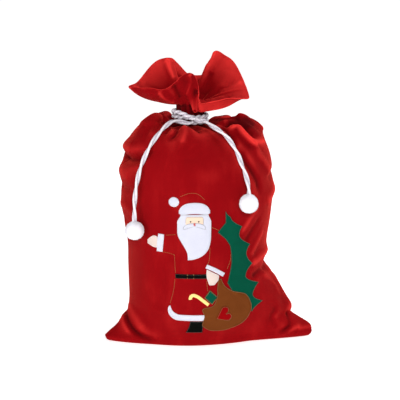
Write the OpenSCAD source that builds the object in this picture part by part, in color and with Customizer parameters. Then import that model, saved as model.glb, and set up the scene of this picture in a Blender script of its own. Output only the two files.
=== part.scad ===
// Fabric gift sack: two sewn cloth panels, gathered at the neck by a wound drawcord with two
// pompoms, and a festive figure in sewn-on felt pieces on the front.
// The sack stands on z = 0 with its front towards -Y. The origin is the middle of the bottom seam.

/* [Sack body] */
// Width across the two bottom corners
bottom_w = 470; // [420:1:520]
// Width of the filled body near its waist
waist_w = 312; // [290:1:340]
// Width of the filled body near its shoulders
shoulder_w = 340; // [320:1:370]
// Sideways place of the body over the middle of the bottom seam
body_x = -20; // [-40:1:0]
// Depth of the foot that stands on the floor
foot_d = 206; // [180:1:230]
// Depth of the filled body
body_d = 276; // [250:1:300]
// Height up to the start of the shoulders
shoulder_z = 370; // [340:1:410]
// Rise of the shoulders up to the neck
shoulder_rise = 140; // [120:1:150]
// Height over which the left bottom corner fades into the body
left_corner_h = 70; // [50:1:120]
// Height over which the right bottom corner fades into the body
right_corner_h = 160; // [120:1:200]
// Radius of the rounded edge around the foot
foot_edge = 12; // [8:0.5:16]
// Half thickness of the blunt tip of a bottom corner
corner_tip = 5; // [4:0.5:8]
// How far the left bottom corner is pulled to the front
left_swing = 45; // [20:1:60]
// How far the right bottom corner is pulled to the front
right_swing = 65; // [40:1:80]
// Thickness of the cloth with its nap and lining
cloth_t = 2; // [1.5:0.1:3]

/* [Neck and mouth] */
// Sideways place of the neck over the foot
neck_x = -36; // [-60:1:0]
// Radius of the gathered neck under the cord
neck_r = 31; // [28:1:36]
// Height of the gathered neck
neck_h = 44; // [38:1:48]
// How deep the neck sinks in between the shoulders
neck_dip = 27; // [18:1:30]
// Thickness of the bunched cloth in the neck
gather_t = 7; // [5:0.5:9]
// Depth of a gather
gather_d = 3; // [2:0.5:4]
// Gathers around each panel
gathers = 6; // [4:1:8]
// How far the lip of the mouth rises before it rolls down
mouth_roll = 30; // [24:1:36]
// How tall the folds of the cloth are, as a share of their usual height
fold_scale = 1; // [0.5:0.05:1.1]

/* [Drawcord] */
// Thickness of the cord
cord_d = 10; // [8:0.5:11]
// Turns of the cord around the neck
cord_turns = 2; // [1:1:2]
// Radius of a pompom
pompom_r = 22; // [18:0.5:26]

/* [Felt figure] */
// Thickness of the felt
felt_t = 1.5; // [1:0.1:2]
// Gap under each layer of felt
felt_gap = 0.6; // [0.4:0.05:0.7]
// Across the middle of the figure, from the middle of the foot
figure_x = -46; // [-60:1:-30]
// Height of the belt of the figure
belt_z = 170; // [160:1:180]
// Width of the beard and hat brim
head_w = 66; // [56:1:72]
// Width of the belt
band_w = 10; // [8:0.5:12]
// Radius of the toy bag of the figure
toy_bag_r = 50; // [40:1:54]
// Height of the fir tree
tree_h = 224; // [200:1:230]

/* [Hidden] */

// Half of the gap between the two panels along their seams
seam_gap = 0.1;
// Gap between cord pieces, and between the cord and what it lies on
cord_gap = 0.4;
// Height at which the section has changed from a pointed lens to an ellipse
round_z = 120;
// Height over which the foot grows to the full depth
foot_rise = 90;
// Height at which the waist starts to widen, and where it is widest
waist_z = 190;
belly_z = 330;
// How full the shoulders are at the left, the right and the front: 1 is a plain quarter ellipse
left_fill = 1;
right_fill = 0.34;
front_fill = 0.95;
// How much lower the front and the right of the shoulders are, and how wide the hollow around the neck is
front_drop = 14;
right_drop = 15;
dip_flat = 12;
dip_w = 38;
// Where the pull on the bottom corners starts, from the middle of the body, and its height
swing_from = 100;
swing_h = 150;
// Height over which the blunt corner tip closes
tip_rise = 24;

top_z = shoulder_z + shoulder_rise;
neck_z = top_z - neck_dip;
mouth_z = neck_z + neck_h;

// Rim of the open mouth: angle from the left seam past the front, reach from the neck's axis, and
// height above the neck. The cloth of the neck is spread along it by length.
RIM = [[3, 135, 40], [22, 104, 40], [38, 82, 38], [53, 68, 51], [65, 57, 66], [80, 48, 73],
    [95, 45, 66], [103, 45, 46], [103, 46, 18], [105, 49, -4], [114, 56, -12], [138, 79, -6],
    [157, 107, 2], [171, 129, 11], [185, 124, 41], [201, 116, 81], [214, 104, 101], [223, 91, 109],
    [228, 83, 90], [233, 77, 60], [260, 61, 57], [285, 62, 78], [300, 58, 94], [309, 70, 96],
    [319, 82, 92], [328, 93, 81], [338, 105, 62], [348, 118, 45]];
// Angle at which the cloth hangs lowest under the rim, and how far that reaches to both sides
pouch_at = 10;
pouch_w = 55;

// Main folds of the filled cloth: height, width, and three places by angle and share of the height,
// which is 1 at the shoulders and 2 at the neck. A hollow has a negative height.
FOLDS = [
    [10, 20, [[8, 1.86], [10, 1.76], [14, 1.60]]], [-16, 13, [[350, 1.23], [12, 1.21], [30, 1.15]]],
    [6, 16, [[354, 1.40], [8, 1.38], [22, 1.34]]], [-10, 12, [[91, 1.90], [94, 1.82], [97, 1.72]]],
    [13, 14, [[126, 1.74], [138, 1.68], [145, 1.45]]], [-18, 16, [[124, 1.88], [150, 1.76], [170, 1.45]]],
    [10, 16, [[166, 1.90], [180, 1.78], [184, 1.48]]], [-16, 18, [[200, 1.84], [216, 1.58], [226, 1.20]]],
    [9, 18, [[216, 1.84], [231, 1.60], [235, 1.30]]], [-10, 14, [[250, 1.86], [252, 1.62], [249, 1.36]]],
    [8, 16, [[266, 1.84], [266, 1.58], [262, 1.20]]], [-12, 15, [[284, 1.86], [290, 1.60], [292, 1.30]]],
    [10, 16, [[304, 1.84], [310, 1.60], [316, 1.34]]], [-14, 16, [[326, 1.86], [333, 1.58], [338, 1.30]]],
    [-10, 12, [[184, 0.46], [170, 0.46], [158, 0.45]]], [8, 18, [[170, 0.38], [169, 0.26], [166, 0.14]]],
    [-9, 11, [[350, 0.19], [8, 0.17], [22, 0.13]]]];

// Mesh counts of a panel
side_n = 30;
base_n = 3;
wall_n = 20;
shoulder_n = 13;
throat_n = 2;
mouth_n = 8;

function unit(v) = v / norm(v);
function smooth(t) = let (c = max(0, min(1, t))) c * c * (3 - 2 * c);
function mix(a, b, t) = a + (b - a) * t;
function flat(lists) = [for (l = lists) for (x = l) x];

// Shape of the filled sack, as sections at a height z

function lean(z) = mix(body_x, neck_x, bunching(z));
function edge_in(z) = z >= foot_edge ? 0 : foot_edge - sqrt(foot_edge ^ 2 - (foot_edge - z) ^ 2);
function shoulder_share(z, fill) = z <= shoulder_z ? 1
    : max(0, 1 - ((z - shoulder_z) / shoulder_rise) ^ 2) ^ (fill / 2);
function corner_share(z, side) = let (rise = max(0, z - foot_edge))
    side < 0 ? max(0, 1 - rise / left_corner_h) ^ 1.6 : max(0, 1 - rise / right_corner_h) ^ 1.25;
function corner_w(side) = bottom_w / 2 + (side < 0 ? body_x : -body_x);
function belly_w(z) = mix(waist_w, shoulder_w, smooth((z - waist_z) / (belly_z - waist_z))) / 2;
function full_w(z, side) = mix(belly_w(z), corner_w(side), corner_share(z, side)) - edge_in(z);
function full_d(z) = mix(foot_d, body_d, smooth(z / foot_rise)) / 2 - edge_in(z);
function half_w(z, side) = mix(neck_r, full_w(z, side),
    shoulder_share(z, side < 0 ? left_fill : right_fill));
function half_d(z) = mix(neck_r, full_d(z), shoulder_share(z, front_fill));
function lens(z) = 1.8 - 0.8 * smooth(z / round_z);
function swing(x, z) = (x < body_x ? left_swing : right_swing) * (1 - smooth(z / swing_h))
    * (max(0, abs(x - body_x) - swing_from) / (bottom_w / 2 - body_x - swing_from)) ^ 1.5;
function sink(x, y, z) = let (up = max(0, min(1, (z - shoulder_z) / shoulder_rise)),
    r = max(1, norm([x - neck_x, y])),
    drop = front_drop * smooth((-y / r - 0.2) / 0.7) + right_drop * smooth(((x - neck_x) / r - 0.1) / 0.7))
    drop * up ^ 2 + (neck_dip - drop) * (1 - smooth((r - neck_r - dip_flat) / dip_w)) * smooth(up / 0.3);
function gather(phi, share) = gather_d * share * (1 - cos(2 * gathers * phi)) / 2;
function bunching(z) = smooth((z - shoulder_z) / shoulder_rise);

// Depth of the front face at x and z, and a point lifted off it along its normal
function front_y(x, z) = let (s = (x - lean(z)) / half_w(z, x - lean(z)))
    -half_d(z) * max(0, 1 - s * s) ^ (lens(z) / 2) - swing(x, z) - seam_gap;
function front_normal(x, z) = let (d = 1)
    unit([(front_y(x + d, z) - front_y(x - d, z)) / (2 * d), -1,
        (front_y(x, z + d) - front_y(x, z - d)) / (2 * d)]);
function on_front(p, lift) = [p[0], front_y(p[0], p[1]), p[1]] + lift * front_normal(p[0], p[1]);

// A point of the plain wall or shoulders: phi runs from the left seam over the front and the right
// seam to the back, and inward is the depth below the outer face
function plain_point(z, phi, inward) = let (c = -cos(phi), f = -sin(phi),
    in = inward + gather(phi, bunching(z)),
    tip = corner_tip * (1 - smooth(z / tip_rise)) * (inward > 0 ? 0.5 : 1),
    depth = (half_d(z) - in) * abs(f) ^ lens(z) + tip,
    x = lean(z) + c * (half_w(z, c) - in),
    y = (phi > 180 ? depth : -depth) - swing(x, z))
    [x, y, max(z - sink(x, y, z), inward > 0 && z < cloth_t ? cloth_t : 0)];
function turned(phi) = phi - 360 * floor(phi / 360);
function plain_normal(z, phi) = let (d = 1) unit(cross(
    plain_point(z, turned(phi + d), 0) - plain_point(z, turned(phi - d), 0),
    plain_point(min(top_z, z + d), phi, 0) - plain_point(max(0, z - d), phi, 0)));

// The folds move it in or out along its normal
function height_at(v) = v <= 1 ? shoulder_z * v : shoulder_z + shoulder_rise * sin(90 * (v - 1));
FOLD_LINES = [for (f = FOLDS) [f[0], f[1], [for (q = f[2]) plain_point(height_at(q[1]), q[0], 0)]]];
function to_stretch(p, a, b) = let (d = b - a, t = max(0, min(1, (p - a) * d / (d * d)))) norm(p - a - t * d);
function to_line(p, l) = min(to_stretch(p, l[0], l[1]), to_stretch(p, l[1], l[2]));
function fold_sum(p, i = 0) = i == len(FOLD_LINES) ? 0
    : FOLD_LINES[i][0] * exp(-(to_line(p, FOLD_LINES[i][2]) / FOLD_LINES[i][1]) ^ 2) + fold_sum(p, i + 1);
function fold(p) = fold_scale * fold_sum(p) * smooth(p[2] / 24)
    * smooth((norm([p[0] - neck_x, p[1]]) - neck_r - 16) / 26);
function wall_point(z, phi, inward) = plain_point(z, phi, inward)
    + fold(plain_point(z, phi, 0)) * plain_normal(z, phi);
function base_point(share, phi, inward) = let (p = wall_point(0, phi, inward))
    [p[0], mix(-swing(p[0], 0), p[1], share), p[2]];
function neck_point(z, phi, inward) = let (r = neck_r - gather(phi, 1) - inward)
    [neck_x - r * cos(phi), -r * sin(phi), z];

// The mouth flares from the neck to the rim, which is a smooth closed curve through RIM
rim_n = len(RIM);
RIM_POINTS = [for (r = RIM) [-r[1] * cos(r[0]), -r[1] * sin(r[0]), r[2]]];
RIM_RUN = [for (i = 0, s = 0; i <= rim_n;
    s = s + norm(RIM_POINTS[(i + 1) % rim_n] - RIM_POINTS[i % rim_n]), i = i + 1) s];
function rim_place(i) = let (turn = floor(i / rim_n))
    RIM[0][0] + 360 * (turn + RIM_RUN[i - rim_n * turn] / RIM_RUN[rim_n]);
function rim_point(i) = RIM_POINTS[i - rim_n * floor(i / rim_n)];
function rim_span(phi, i = -1) = phi < rim_place(i + 1) ? i : rim_span(phi, i + 1);
function spline(a, b, c, d, t) = 0.5 * (2 * b + (c - a) * t + (2 * a - 5 * b + 4 * c - d) * t ^ 2
    + (3 * b - a - 3 * c + d) * t ^ 3);
function rim(phi) = let (i = rim_span(phi), at = rim_place(i))
    spline(rim_point(i - 1), rim_point(i), rim_point(i + 1), rim_point(i + 2),
        (phi - at) / (rim_place(i + 1) - at));
function pouch(phi) = smooth(1.3 - abs((phi - pouch_at + 540) % 360 - 180) / pouch_w);
function mouth_face(phi, t) = let (end = rim(phi),
    start = (neck_r - gather(phi, (1 - t) ^ 2)) * [-cos(phi), -sin(phi), 0],
    standing = smooth((end[2] - 10) / 60),
    share = mix(mix(0.57, 0.38, standing), 0.72, pouch(phi)),
    knee = [mix(start[0], end[0], share), mix(start[1], end[1], share),
        mix(mix(mouth_roll, end[2] / 2, standing), 2, pouch(phi))])
    [neck_x, 0, mouth_z] + (1 - t) ^ 2 * start + 2 * t * (1 - t) * knee + t ^ 2 * end;
function mouth_normal(phi, t) = let (d = 0.5, e = 0.01) unit(cross(
    mouth_face(phi + d, t) - mouth_face(phi - d, t),
    mouth_face(phi, min(1, t + e)) - mouth_face(phi, max(0, t - e))));
function mouth_point(phi, t, inward) = mouth_face(phi, t) - inward * mouth_normal(phi, t);

// Rows of a panel from the bottom seam up to the rim: what they lie on, and where
PANEL_ROWS = concat(
    [for (i = [0 : base_n - 1]) ["base", i / base_n]],
    [for (i = [0 : wall_n]) ["wall", shoulder_z * (i / wall_n) ^ 1.6]],
    [for (i = [1 : shoulder_n]) let (w = 90 * (1 - (1 - i / shoulder_n) ^ 1.5))
        ["wall", shoulder_z + shoulder_rise * sin(w)]],
    [for (i = [1 : throat_n]) ["neck", neck_z + neck_h * i / throat_n]],
    [for (i = [1 : mouth_n]) ["mouth", i / mouth_n]]);

function row_point(row, phi, inner) = let (v = row[1])
    row[0] == "base" ? base_point(v, phi, inner ? cloth_t : 0)
    : row[0] == "wall" ? wall_point(v, phi, inner ? mix(cloth_t, gather_t, bunching(v)) : 0)
    : row[0] == "neck" ? neck_point(v, phi, inner ? gather_t : 0)
    : mouth_point(phi, v, inner ? mix(gather_t, cloth_t, smooth(v / 0.4)) : 0);
function panel_row(row, back, inner) = [for (i = [0 : side_n])
    row_point(row, back ? 360 - 179.999 * i / side_n : 180 * i / side_n, inner)
        + [0, back ? seam_gap : -seam_gap, 0]];
function panel_grid(back, inner) = [for (row = PANEL_ROWS) panel_row(row, back, inner)];

// A closed sheet between an outer and an inner grid of the same rows and columns. The outer grid's
// columns run to the right and its rows run up, seen from outside.
function grid_faces(rows, cols, first, turned) = flat([for (j = [0 : rows - 2]) for (i = [0 : cols - 2])
    let (a = first + j * cols + i, b = a + 1, c = a + cols + 1, d = a + cols)
    turned ? [[a, b, c], [a, c, d]] : [[a, c, b], [a, d, c]]]);
function strip_faces(edge, shift) = flat([for (i = [0 : len(edge) - 2])
    let (a = edge[i], b = edge[i + 1]) [[a, b, b + shift], [a, b + shift, a + shift]]]);
module sheet(outer, inner, mirrored = false) {
    rows = len(outer);
    cols = len(outer[0]);
    count = rows * cols;
    around = concat([for (i = [0 : cols - 1]) i], [for (j = [1 : rows - 1]) j * cols + cols - 1],
        [for (i = [cols - 2 : -1 : 0]) (rows - 1) * cols + i], [for (j = [rows - 2 : -1 : 0]) j * cols]);
    faces = concat(grid_faces(rows, cols, 0, false), grid_faces(rows, cols, count, true),
        strip_faces(around, count));
    polyhedron(concat(flat(outer), flat(inner)),
        mirrored ? [for (f = faces) [f[0], f[2], f[1]]] : faces);
}

module panel(back) { color("firebrick") sheet(panel_grid(back, false), panel_grid(back, true), back); }
module front_panel() { panel(false); }
module back_panel() { panel(true); }

// Drawcord

cord_r = cord_d / 2;
cord_sides = 8;
winding_sides = 6;
// The wound turns lie on the neck, and the last stretch crosses over them on its way down
turn_r = neck_r + cord_r + cord_gap;
cross_r = turn_r + cord_d + 2;
cross_drop = 12;
turn_pitch = cord_d + 1;
turn_rings = 24;
cord_tilt = 0.06;
winding_z = neck_z + cord_r + cord_gap + 2.4;
first_phi = 100;
last_phi = 85 + 360 * cord_turns;

function winding_point(phi) = let (left = last_phi - phi,
    r = mix(cross_r, turn_r, smooth((left - 15) / 80)),
    z = winding_z + turn_pitch * (phi - first_phi) / 360 - cross_drop * smooth((35 - left) / 50))
    [neck_x - r * cos(phi), -r * sin(phi), z + cord_tilt * r * cos(phi)];
TURNS = [for (i = [0 : cord_turns * turn_rings])
    winding_point(mix(first_phi, last_phi, i / (cord_turns * turn_rings)))];
// Both ends run straight out of the winding for one thickness of the cord
left_out = unit(TURNS[0] - TURNS[1]);
right_out = unit(TURNS[len(TURNS) - 1] - TURNS[len(TURNS) - 2]);
left_end = TURNS[0] + cord_d * left_out;
right_end = TURNS[len(TURNS) - 1] + cord_d * right_out;
WINDING = concat([left_end], TURNS, [right_end]);

// Free stretches of the cord: over each shoulder, then down the front to the pompom
LEFT_SHOULDER = [[-66, -46, 495], [-82, -54, 497], [-96, -65, 490]];
LEFT_TAIL = [[-108, -76, 481.5], [-123, -86, 466], [-138.5, -92, 444], [-150, -94, 420], [-158.5, -94, 397],
    [-164, -95, 373], [-168, -95, 350], [-170, -96, 325], [-171, -98, 295]];
RIGHT_SHOULDER = [[-13, -62, 497], [-3, -79, 490.5], [9, -90, 483.5]];
RIGHT_TAIL = [[20, -98, 475.5], [33, -107, 462], [43, -114.5, 446], [51, -119.5, 430], [56, -123, 415],
    [61, -128, 401], [65, -134, 388], [68.5, -140, 372], [70, -143.5, 356]];
function lead_out(end, out) = [end + cord_gap * out, end + (cord_gap + cord_d) * out];
function butt(route, next) = let (last = route[len(route) - 1])
    concat(route, [next - (cord_r + cord_gap) * unit(next - last)]);

// A tube along points, with rings square to the path. Round ends are half balls about the end points.
function along(p, i) = unit(p[min(i + 1, len(p) - 1)] - p[max(i - 1, 0)]);
function carry(n, d) = unit(n - d * (n * d));
function sides_of(p, i = 0, n = [0, 0, 1]) = i == len(p) ? []
    : let (m = carry(n, along(p, i))) concat([m], sides_of(p, i + 1, m));
function ring(centre, d, n, r, sides) = [for (k = [0 : sides - 1]) let (w = 360 * (k + 0.5) / sides)
    centre + r * (cos(w) * n + sin(w) * cross(d, n))];
function fan(first, sides, turned) = [for (k = [1 : sides - 2])
    turned ? [first, first + k, first + k + 1] : [first, first + k + 1, first + k]];
function cap_ring(p, i, n, r, w, sides) =
    ring(p[i] + r * sin(w) * along(p, i), along(p, i), n, r * cos(w), sides);
module tube(p, r, sides, round_ends = false) {
    n = sides_of(p);
    end = len(p) - 1;
    cap = round_ends ? [25, 50, 75] : [];
    rings = concat([for (i = [len(cap) - 1 : -1 : 0]) cap_ring(p, 0, n[0], r, -cap[i], sides)],
        [for (i = [0 : end]) ring(p[i], along(p, i), n[i], r, sides)],
        [for (w = cap) cap_ring(p, end, n[end], r, w, sides)]);
    last = (len(rings) - 1) * sides;
    skin = flat([for (j = [0 : len(rings) - 2]) for (k = [0 : sides - 1])
        let (a = j * sides + k, b = j * sides + (k + 1) % sides)
        [[a, a + sides, b], [b, a + sides, b + sides]]]);
    polyhedron(flat(rings), concat(fan(0, sides, true), skin, fan(last, sides, false)));
}
module cord(p, sides, round_ends = false) { color("white") tube(p, cord_r, sides, round_ends); }
module neck_winding() { cord(WINDING, winding_sides); }
module left_cord_top() {
    cord(concat(lead_out(left_end, left_out), butt(LEFT_SHOULDER, LEFT_TAIL[0])), cord_sides);
}
module right_cord_top() {
    cord(concat(lead_out(right_end, right_out), butt(RIGHT_SHOULDER, RIGHT_TAIL[0])), cord_sides);
}
module left_tail() { cord(LEFT_TAIL, cord_sides, true); }
module right_tail() { cord(RIGHT_TAIL, cord_sides, true); }

// Least gap of the winding to itself, between rings more than a third of a turn apart
winding_gap = min([for (i = [0 : len(WINDING) - 1]) for (j = [i + 8 : 1 : len(WINDING) - 1])
    norm(WINDING[i] - WINDING[j])]) - cord_d;
echo(winding_gap = winding_gap);

// A pompom hangs just under the end of its tail
module pompom(tail) {
    end = tail[len(tail) - 1];
    color("white") translate(end - [0, 0, cord_r + cord_gap + pompom_r]) sphere(pompom_r, $fn = 24);
}
module left_pompom() { pompom(LEFT_TAIL); }
module right_pompom() { pompom(RIGHT_TAIL); }

// Felt figure. Each piece is a strip of felt between two rails of points in x and z, laid on the
// front face, and level says how many other pieces lie under it.

felt_cols = 7;
function signed_area(a, b) = let (loop = concat(a, [for (i = [len(b) - 1 : -1 : 0]) b[i]]), n = len(loop))
    [for (i = 0, s = 0; i <= n; s = s + cross(loop[i % n], loop[(i + 1) % n]), i = i + 1) s][n];
function felt_row(a, b, lift) = [for (i = [0 : felt_cols]) on_front(mix(a, b, i / felt_cols), lift)];
module felt(rail_a, rail_b, level, tint) {
    swap = signed_area(rail_a, rail_b) < 0;
    a = swap ? rail_b : rail_a;
    b = swap ? rail_a : rail_b;
    low = felt_gap + level * (felt_t + felt_gap);
    rows = [for (i = [0 : len(a) - 1]) [a[i], b[i]]];
    color(tint) sheet([for (r = rows) felt_row(r[1], r[0], low + felt_t)],
        [for (r = rows) felt_row(r[1], r[0], low)]);
}
// A band of felt along a path
module felt_band(path, width, level, tint) {
    side = [for (i = [0 : len(path) - 1]) let (d = along(path, i)) [-d[1], d[0]] * width / 2];
    felt([for (i = [0 : len(path) - 1]) path[i] + side[i]],
        [for (i = [0 : len(path) - 1]) path[i] - side[i]], level, tint);
}
// A round or oval piece of felt
module felt_oval(centre, rx, rz, level, tint) {
    turns = [for (i = [0 : 10]) 8 + 164 * i / 10];
    felt([for (w = turns) centre + [-rx * sin(w), rz * cos(w)]],
        [for (w = turns) centre + [rx * sin(w), rz * cos(w)]], level, tint);
}
function halved(rail) = [for (i = [0 : 2 * len(rail) - 2])
    mix(rail[floor(i / 2)], rail[ceil(i / 2)], 0.5)];
function line(a, b, n) = [for (i = [0 : n]) mix(a, b, i / n)];
function arc(centre, r, from, to, n) = [for (i = [0 : n]) let (w = mix(from, to, i / n))
    centre + r * [cos(w), sin(w)]];

// Places on the figure, as heights above the belt and lengths of its pieces
brim_rise = 142;
face_rise = 131;
hem_drop = 94;
brim_z = belt_z + brim_rise;
face_z = belt_z + face_rise;
hem_z = belt_z - hem_drop;
hem_w = band_w + 4;
beard_h = 100;
brim_up = 15;
brim_down = 9;
brim_arch = 6;
bobble_r = 10.5;
bobble_out = 43;
bobble_up = 22;
cuff_l = 40;
cuff_w = band_w + 2;

module hat_bobble() {
    felt_oval([figure_x - bobble_out, brim_z + bobble_up], bobble_r, bobble_r, 0, "white");
}
function brim_edge(half) = [for (i = [0 : 8]) let (u = i / 4 - 1)
    [figure_x + u * head_w / 2, brim_z + half * sqrt(max(0.08, 1 - u ^ 4)) + brim_arch * (1 - u * u)]];
module hat_brim() { felt(brim_edge(brim_up), brim_edge(-brim_down), 1, "white"); }
// The beard hangs from under the brim, full on the right, and its tip flicks to the left
beard_rows = 12;
BEARD_ROWS = [for (i = [0 : beard_rows]) 1 - (1 - i / beard_rows) ^ 1.4];
function beard_left(t) = -head_w * (0.22 + 0.33 * (1 - smooth((t - 0.38) / 0.54)));
function beard_right(t) = head_w * (0.73 * max(0, 1 - t ^ 6) ^ 0.6 - 0.19);
module beard() {
    felt([for (t = BEARD_ROWS) [figure_x + beard_left(t), brim_z - 5 - beard_h * t]],
        [for (t = BEARD_ROWS) [figure_x + beard_right(t), brim_z - 5 - beard_h * t]], 0, "white");
}
face_w = 38;
face_h = 20;
function face_edge(side) = [for (i = [0 : 4]) let (u = i / 2 - 1)
    [figure_x + side * face_w / 2 * sqrt(1 - 0.3 * u ^ 4), face_z + 1.5 - face_h * i / 4]];
module face() { felt(face_edge(-1), face_edge(1), 1, "bisque"); }
moustache_w = 48;
moustache_drop = 17;
function moustache_edge(up) = [for (i = [0 : 10]) let (u = i / 5 - 1, lobe = sqrt(max(0, 1 - u * u)))
    [figure_x + u * moustache_w / 2, face_z - moustache_drop - 6 * u * u
        + (up ? 1 + lobe * (4.2 + 2.8 * abs(u)) : -3 - 5 * abs(u) * lobe)]];
module moustache() { felt(moustache_edge(true), moustache_edge(false), 2, "white"); }
// The raised mitten with its thumb, and its cuff
mitten = [figure_x - 80, belt_z + 72];
module left_mitten() {
    us = [for (i = [0 : 8]) i / 8];
    felt([for (u = us) mitten + [mix(-16, 10, u), 4 + 11 * sin(min(1, u * 1.15) * 150)]],
        [for (u = us) mitten + [mix(-16, 10, u), -4 - 8 * sin(min(1, u * 1.15) * 110)]], 0, "bisque");
}
module left_cuff() {
    felt_band(line(mitten + [11, cuff_l / 2], mitten + [8, -cuff_l / 2], 4), cuff_w, 1, "white");
}
// The mitten that holds the toy bag, and its cuff right above it
grip = [figure_x + 39, belt_z - 4];
module right_mitten() {
    us = [for (i = [0 : 6]) i / 6];
    felt([for (u = us) grip + [mix(-13, -7, u) - 3 * sin(180 * u), mix(20, -16, u)]],
        [for (u = us) grip + [mix(14, 4, u) + 3 * sin(180 * u), mix(5, -16, u)]], 2, "bisque");
}
module right_cuff() {
    felt_band(line(grip + [-14, 27], grip + [25, 5], 4), band_w - 1, 2, "white");
}
module belt() {
    felt_band(line([figure_x - 40, belt_z], [figure_x + 26, belt_z], 6), band_w, 0, "black");
}
// The white hem of the coat turns up at its left end
module coat_hem() {
    turn_r = 21;
    turn = [figure_x - 31, hem_z + turn_r];
    run = line([figure_x - 24, hem_z], [figure_x + 25, hem_z], 5);
    felt_band(concat(arc(turn, turn_r, 172, 262, 6), run), hem_w, 0, "white");
}
boot_h = 30;
module boot() {
    top = hem_z - hem_w / 2 - 2;
    us = [for (i = [0 : 4]) i / 4];
    felt([for (u = us) [figure_x - 9 - 7 * u ^ 2, top - boot_h * u]],
        [for (u = us) [figure_x + 20, top - boot_h * u]], 0, "black");
}
// The fir tree leans behind the figure's shoulder: the arm cuts its left side, and the tips of its
// branches stand out on the right. Its places are shares of its height from the top.
tree_top = [figure_x + 70, belt_z + 143];
TREE = [[[-0.004, 0], [0.004, 0]], [[0.009, 0.089], [0.031, 0.049]], [[-0.071, 0.201], [0.196, 0.143]],
    [[-0.009, 0.259], [0.161, 0.237]], [[0.045, 0.295], [0.272, 0.326]], [[0.062, 0.429], [0.223, 0.415]],
    [[0.058, 0.496], [0.277, 0.536]], [[0.022, 0.589], [0.223, 0.638]], [[0.018, 0.674], [0.335, 0.701]],
    [[0.076, 0.795], [0.286, 0.821]], [[0.156, 0.893], [0.400, 0.888]], [[0.263, 0.991], [0.290, 1]]];
function tree_rail(side) = halved([for (row = TREE) tree_top + tree_h * [row[side][0], -row[side][1]]]);
module fir_tree() { felt(tree_rail(0), tree_rail(1), 0, "seagreen"); }
// Presents that stick out of the toy bag
module gift_box() {
    corner = [figure_x + 21, belt_z - 48];
    across = [17, -16];
    up = [12, 17];
    felt(line(corner, corner + up, 3), line(corner + across, corner + across + up, 3), 0, "seagreen");
}
cane_w = 7;
cane_r = 7;
module candy_cane() {
    hook = [figure_x - 2, belt_z - 49];
    run = line(hook + [9, 3.5], hook + [32, -15], 4);
    felt_band(concat(arc(hook, cane_r, 200, 50, 6), run), cane_w, 0, "khaki");
}
// The toy bag is gathered in the hand, and a fold of it sticks out on the left. Its places are shares
// of its radius from its middle.
bag = [figure_x + 73, hem_z + 9];
TOY_BAG = [[[-0.46, 1.56], [-0.30, 1.56]], [[-0.46, 1.30], [-0.18, 1.30]], [[-0.48, 1.06], [-0.02, 1.12]],
    [[-0.48, 0.82], [0.28, 0.94]], [[-0.66, 0.38], [0.80, 0.76]], [[-1.12, 0.24], [1.04, 0.40]],
    [[-1.04, -0.10], [1.10, 0.10]], [[-1.10, -0.38], [1.02, -0.22]], [[-1.08, -0.60], [0.82, -0.52]],
    [[-0.78, -0.84], [0.52, -0.72]], [[-0.46, -0.90], [-0.06, -0.90]]];
function bag_rail(side) = halved([for (row = TOY_BAG) bag + toy_bag_r * row[side]]);
module toy_bag() { felt(bag_rail(0), bag_rail(1), 1, "sienna"); }
heart_size = 15;
heart_turn = -65;
function heart_place(x, z) = bag + heart_size * [x * cos(heart_turn) - z * sin(heart_turn),
    x * sin(heart_turn) + z * cos(heart_turn)];
module heart_patch() {
    us = [for (i = [0 : 12]) i / 6 - 1];
    felt([for (u = us) heart_place(u, 0.55 * sqrt(max(0, 1 - (2 * abs(u) - 1) ^ 2)) + 0.25)],
        [for (u = us) heart_place(u, 0.15 - 1.25 * (1 - abs(u)) ^ 0.9)], 2, "crimson");
}

front_panel();
back_panel();
neck_winding();
left_cord_top();
right_cord_top();
left_tail();
right_tail();
left_pompom();
right_pompom();
hat_bobble();
hat_brim();
beard();
face();
moustache();
left_mitten();
left_cuff();
right_mitten();
right_cuff();
belt();
coat_hem();
boot();
fir_tree();
gift_box();
candy_cane();
toy_bag();
heart_patch();
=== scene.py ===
import bpy
import numpy as np
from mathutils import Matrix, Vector


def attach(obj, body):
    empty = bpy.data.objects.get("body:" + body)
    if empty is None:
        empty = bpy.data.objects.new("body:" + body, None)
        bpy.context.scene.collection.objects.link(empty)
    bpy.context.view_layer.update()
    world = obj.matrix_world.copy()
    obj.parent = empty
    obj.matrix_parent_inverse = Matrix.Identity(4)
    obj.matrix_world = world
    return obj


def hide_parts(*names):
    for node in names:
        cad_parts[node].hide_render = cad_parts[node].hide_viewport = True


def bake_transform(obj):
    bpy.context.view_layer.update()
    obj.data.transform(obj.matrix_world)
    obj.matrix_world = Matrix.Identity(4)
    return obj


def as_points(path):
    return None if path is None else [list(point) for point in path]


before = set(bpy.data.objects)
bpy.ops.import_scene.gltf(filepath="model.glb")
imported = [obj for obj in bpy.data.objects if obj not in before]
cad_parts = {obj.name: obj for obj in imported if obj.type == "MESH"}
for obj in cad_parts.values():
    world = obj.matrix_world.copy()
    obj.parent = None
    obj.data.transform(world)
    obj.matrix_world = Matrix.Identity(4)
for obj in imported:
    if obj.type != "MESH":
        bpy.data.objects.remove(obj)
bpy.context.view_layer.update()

# Studio
# A wide pale floor in even white light, with a soft light from the front and above, a weak lamp
# from the left and another from behind on the right. The camera stands a little to the left of the
# front and looks slightly down.

scene = bpy.context.scene
scene.view_settings.view_transform = "Standard"
aim = Vector((-0.0134, 0.0020, 0.3090))
camera_turn, camera_rise, camera_away = np.radians(-8.6), np.radians(12.0), 2.6
half_picture, film_w, camera_reach = 0.45, 36.0, 60.0
lamps = (("fill_lamp", (-1.9, -1.8, 0.2), 1.2, 40.0),
         ("back_lamp", (1.6, 0.5, 2.0), 0.8, 34.0))
key_from, key_strength, key_soft = (-0.1, -2.2, 1.3), 2.0, np.radians(16)
ambient, white_light = 0.24, (1.0, 1.0, 1.0, 1.0)
floor_colour, floor_glow = (0.9, 0.9, 0.9, 1.0), 0.6
floor_r, floor_z = 20000.0, -0.3


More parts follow.
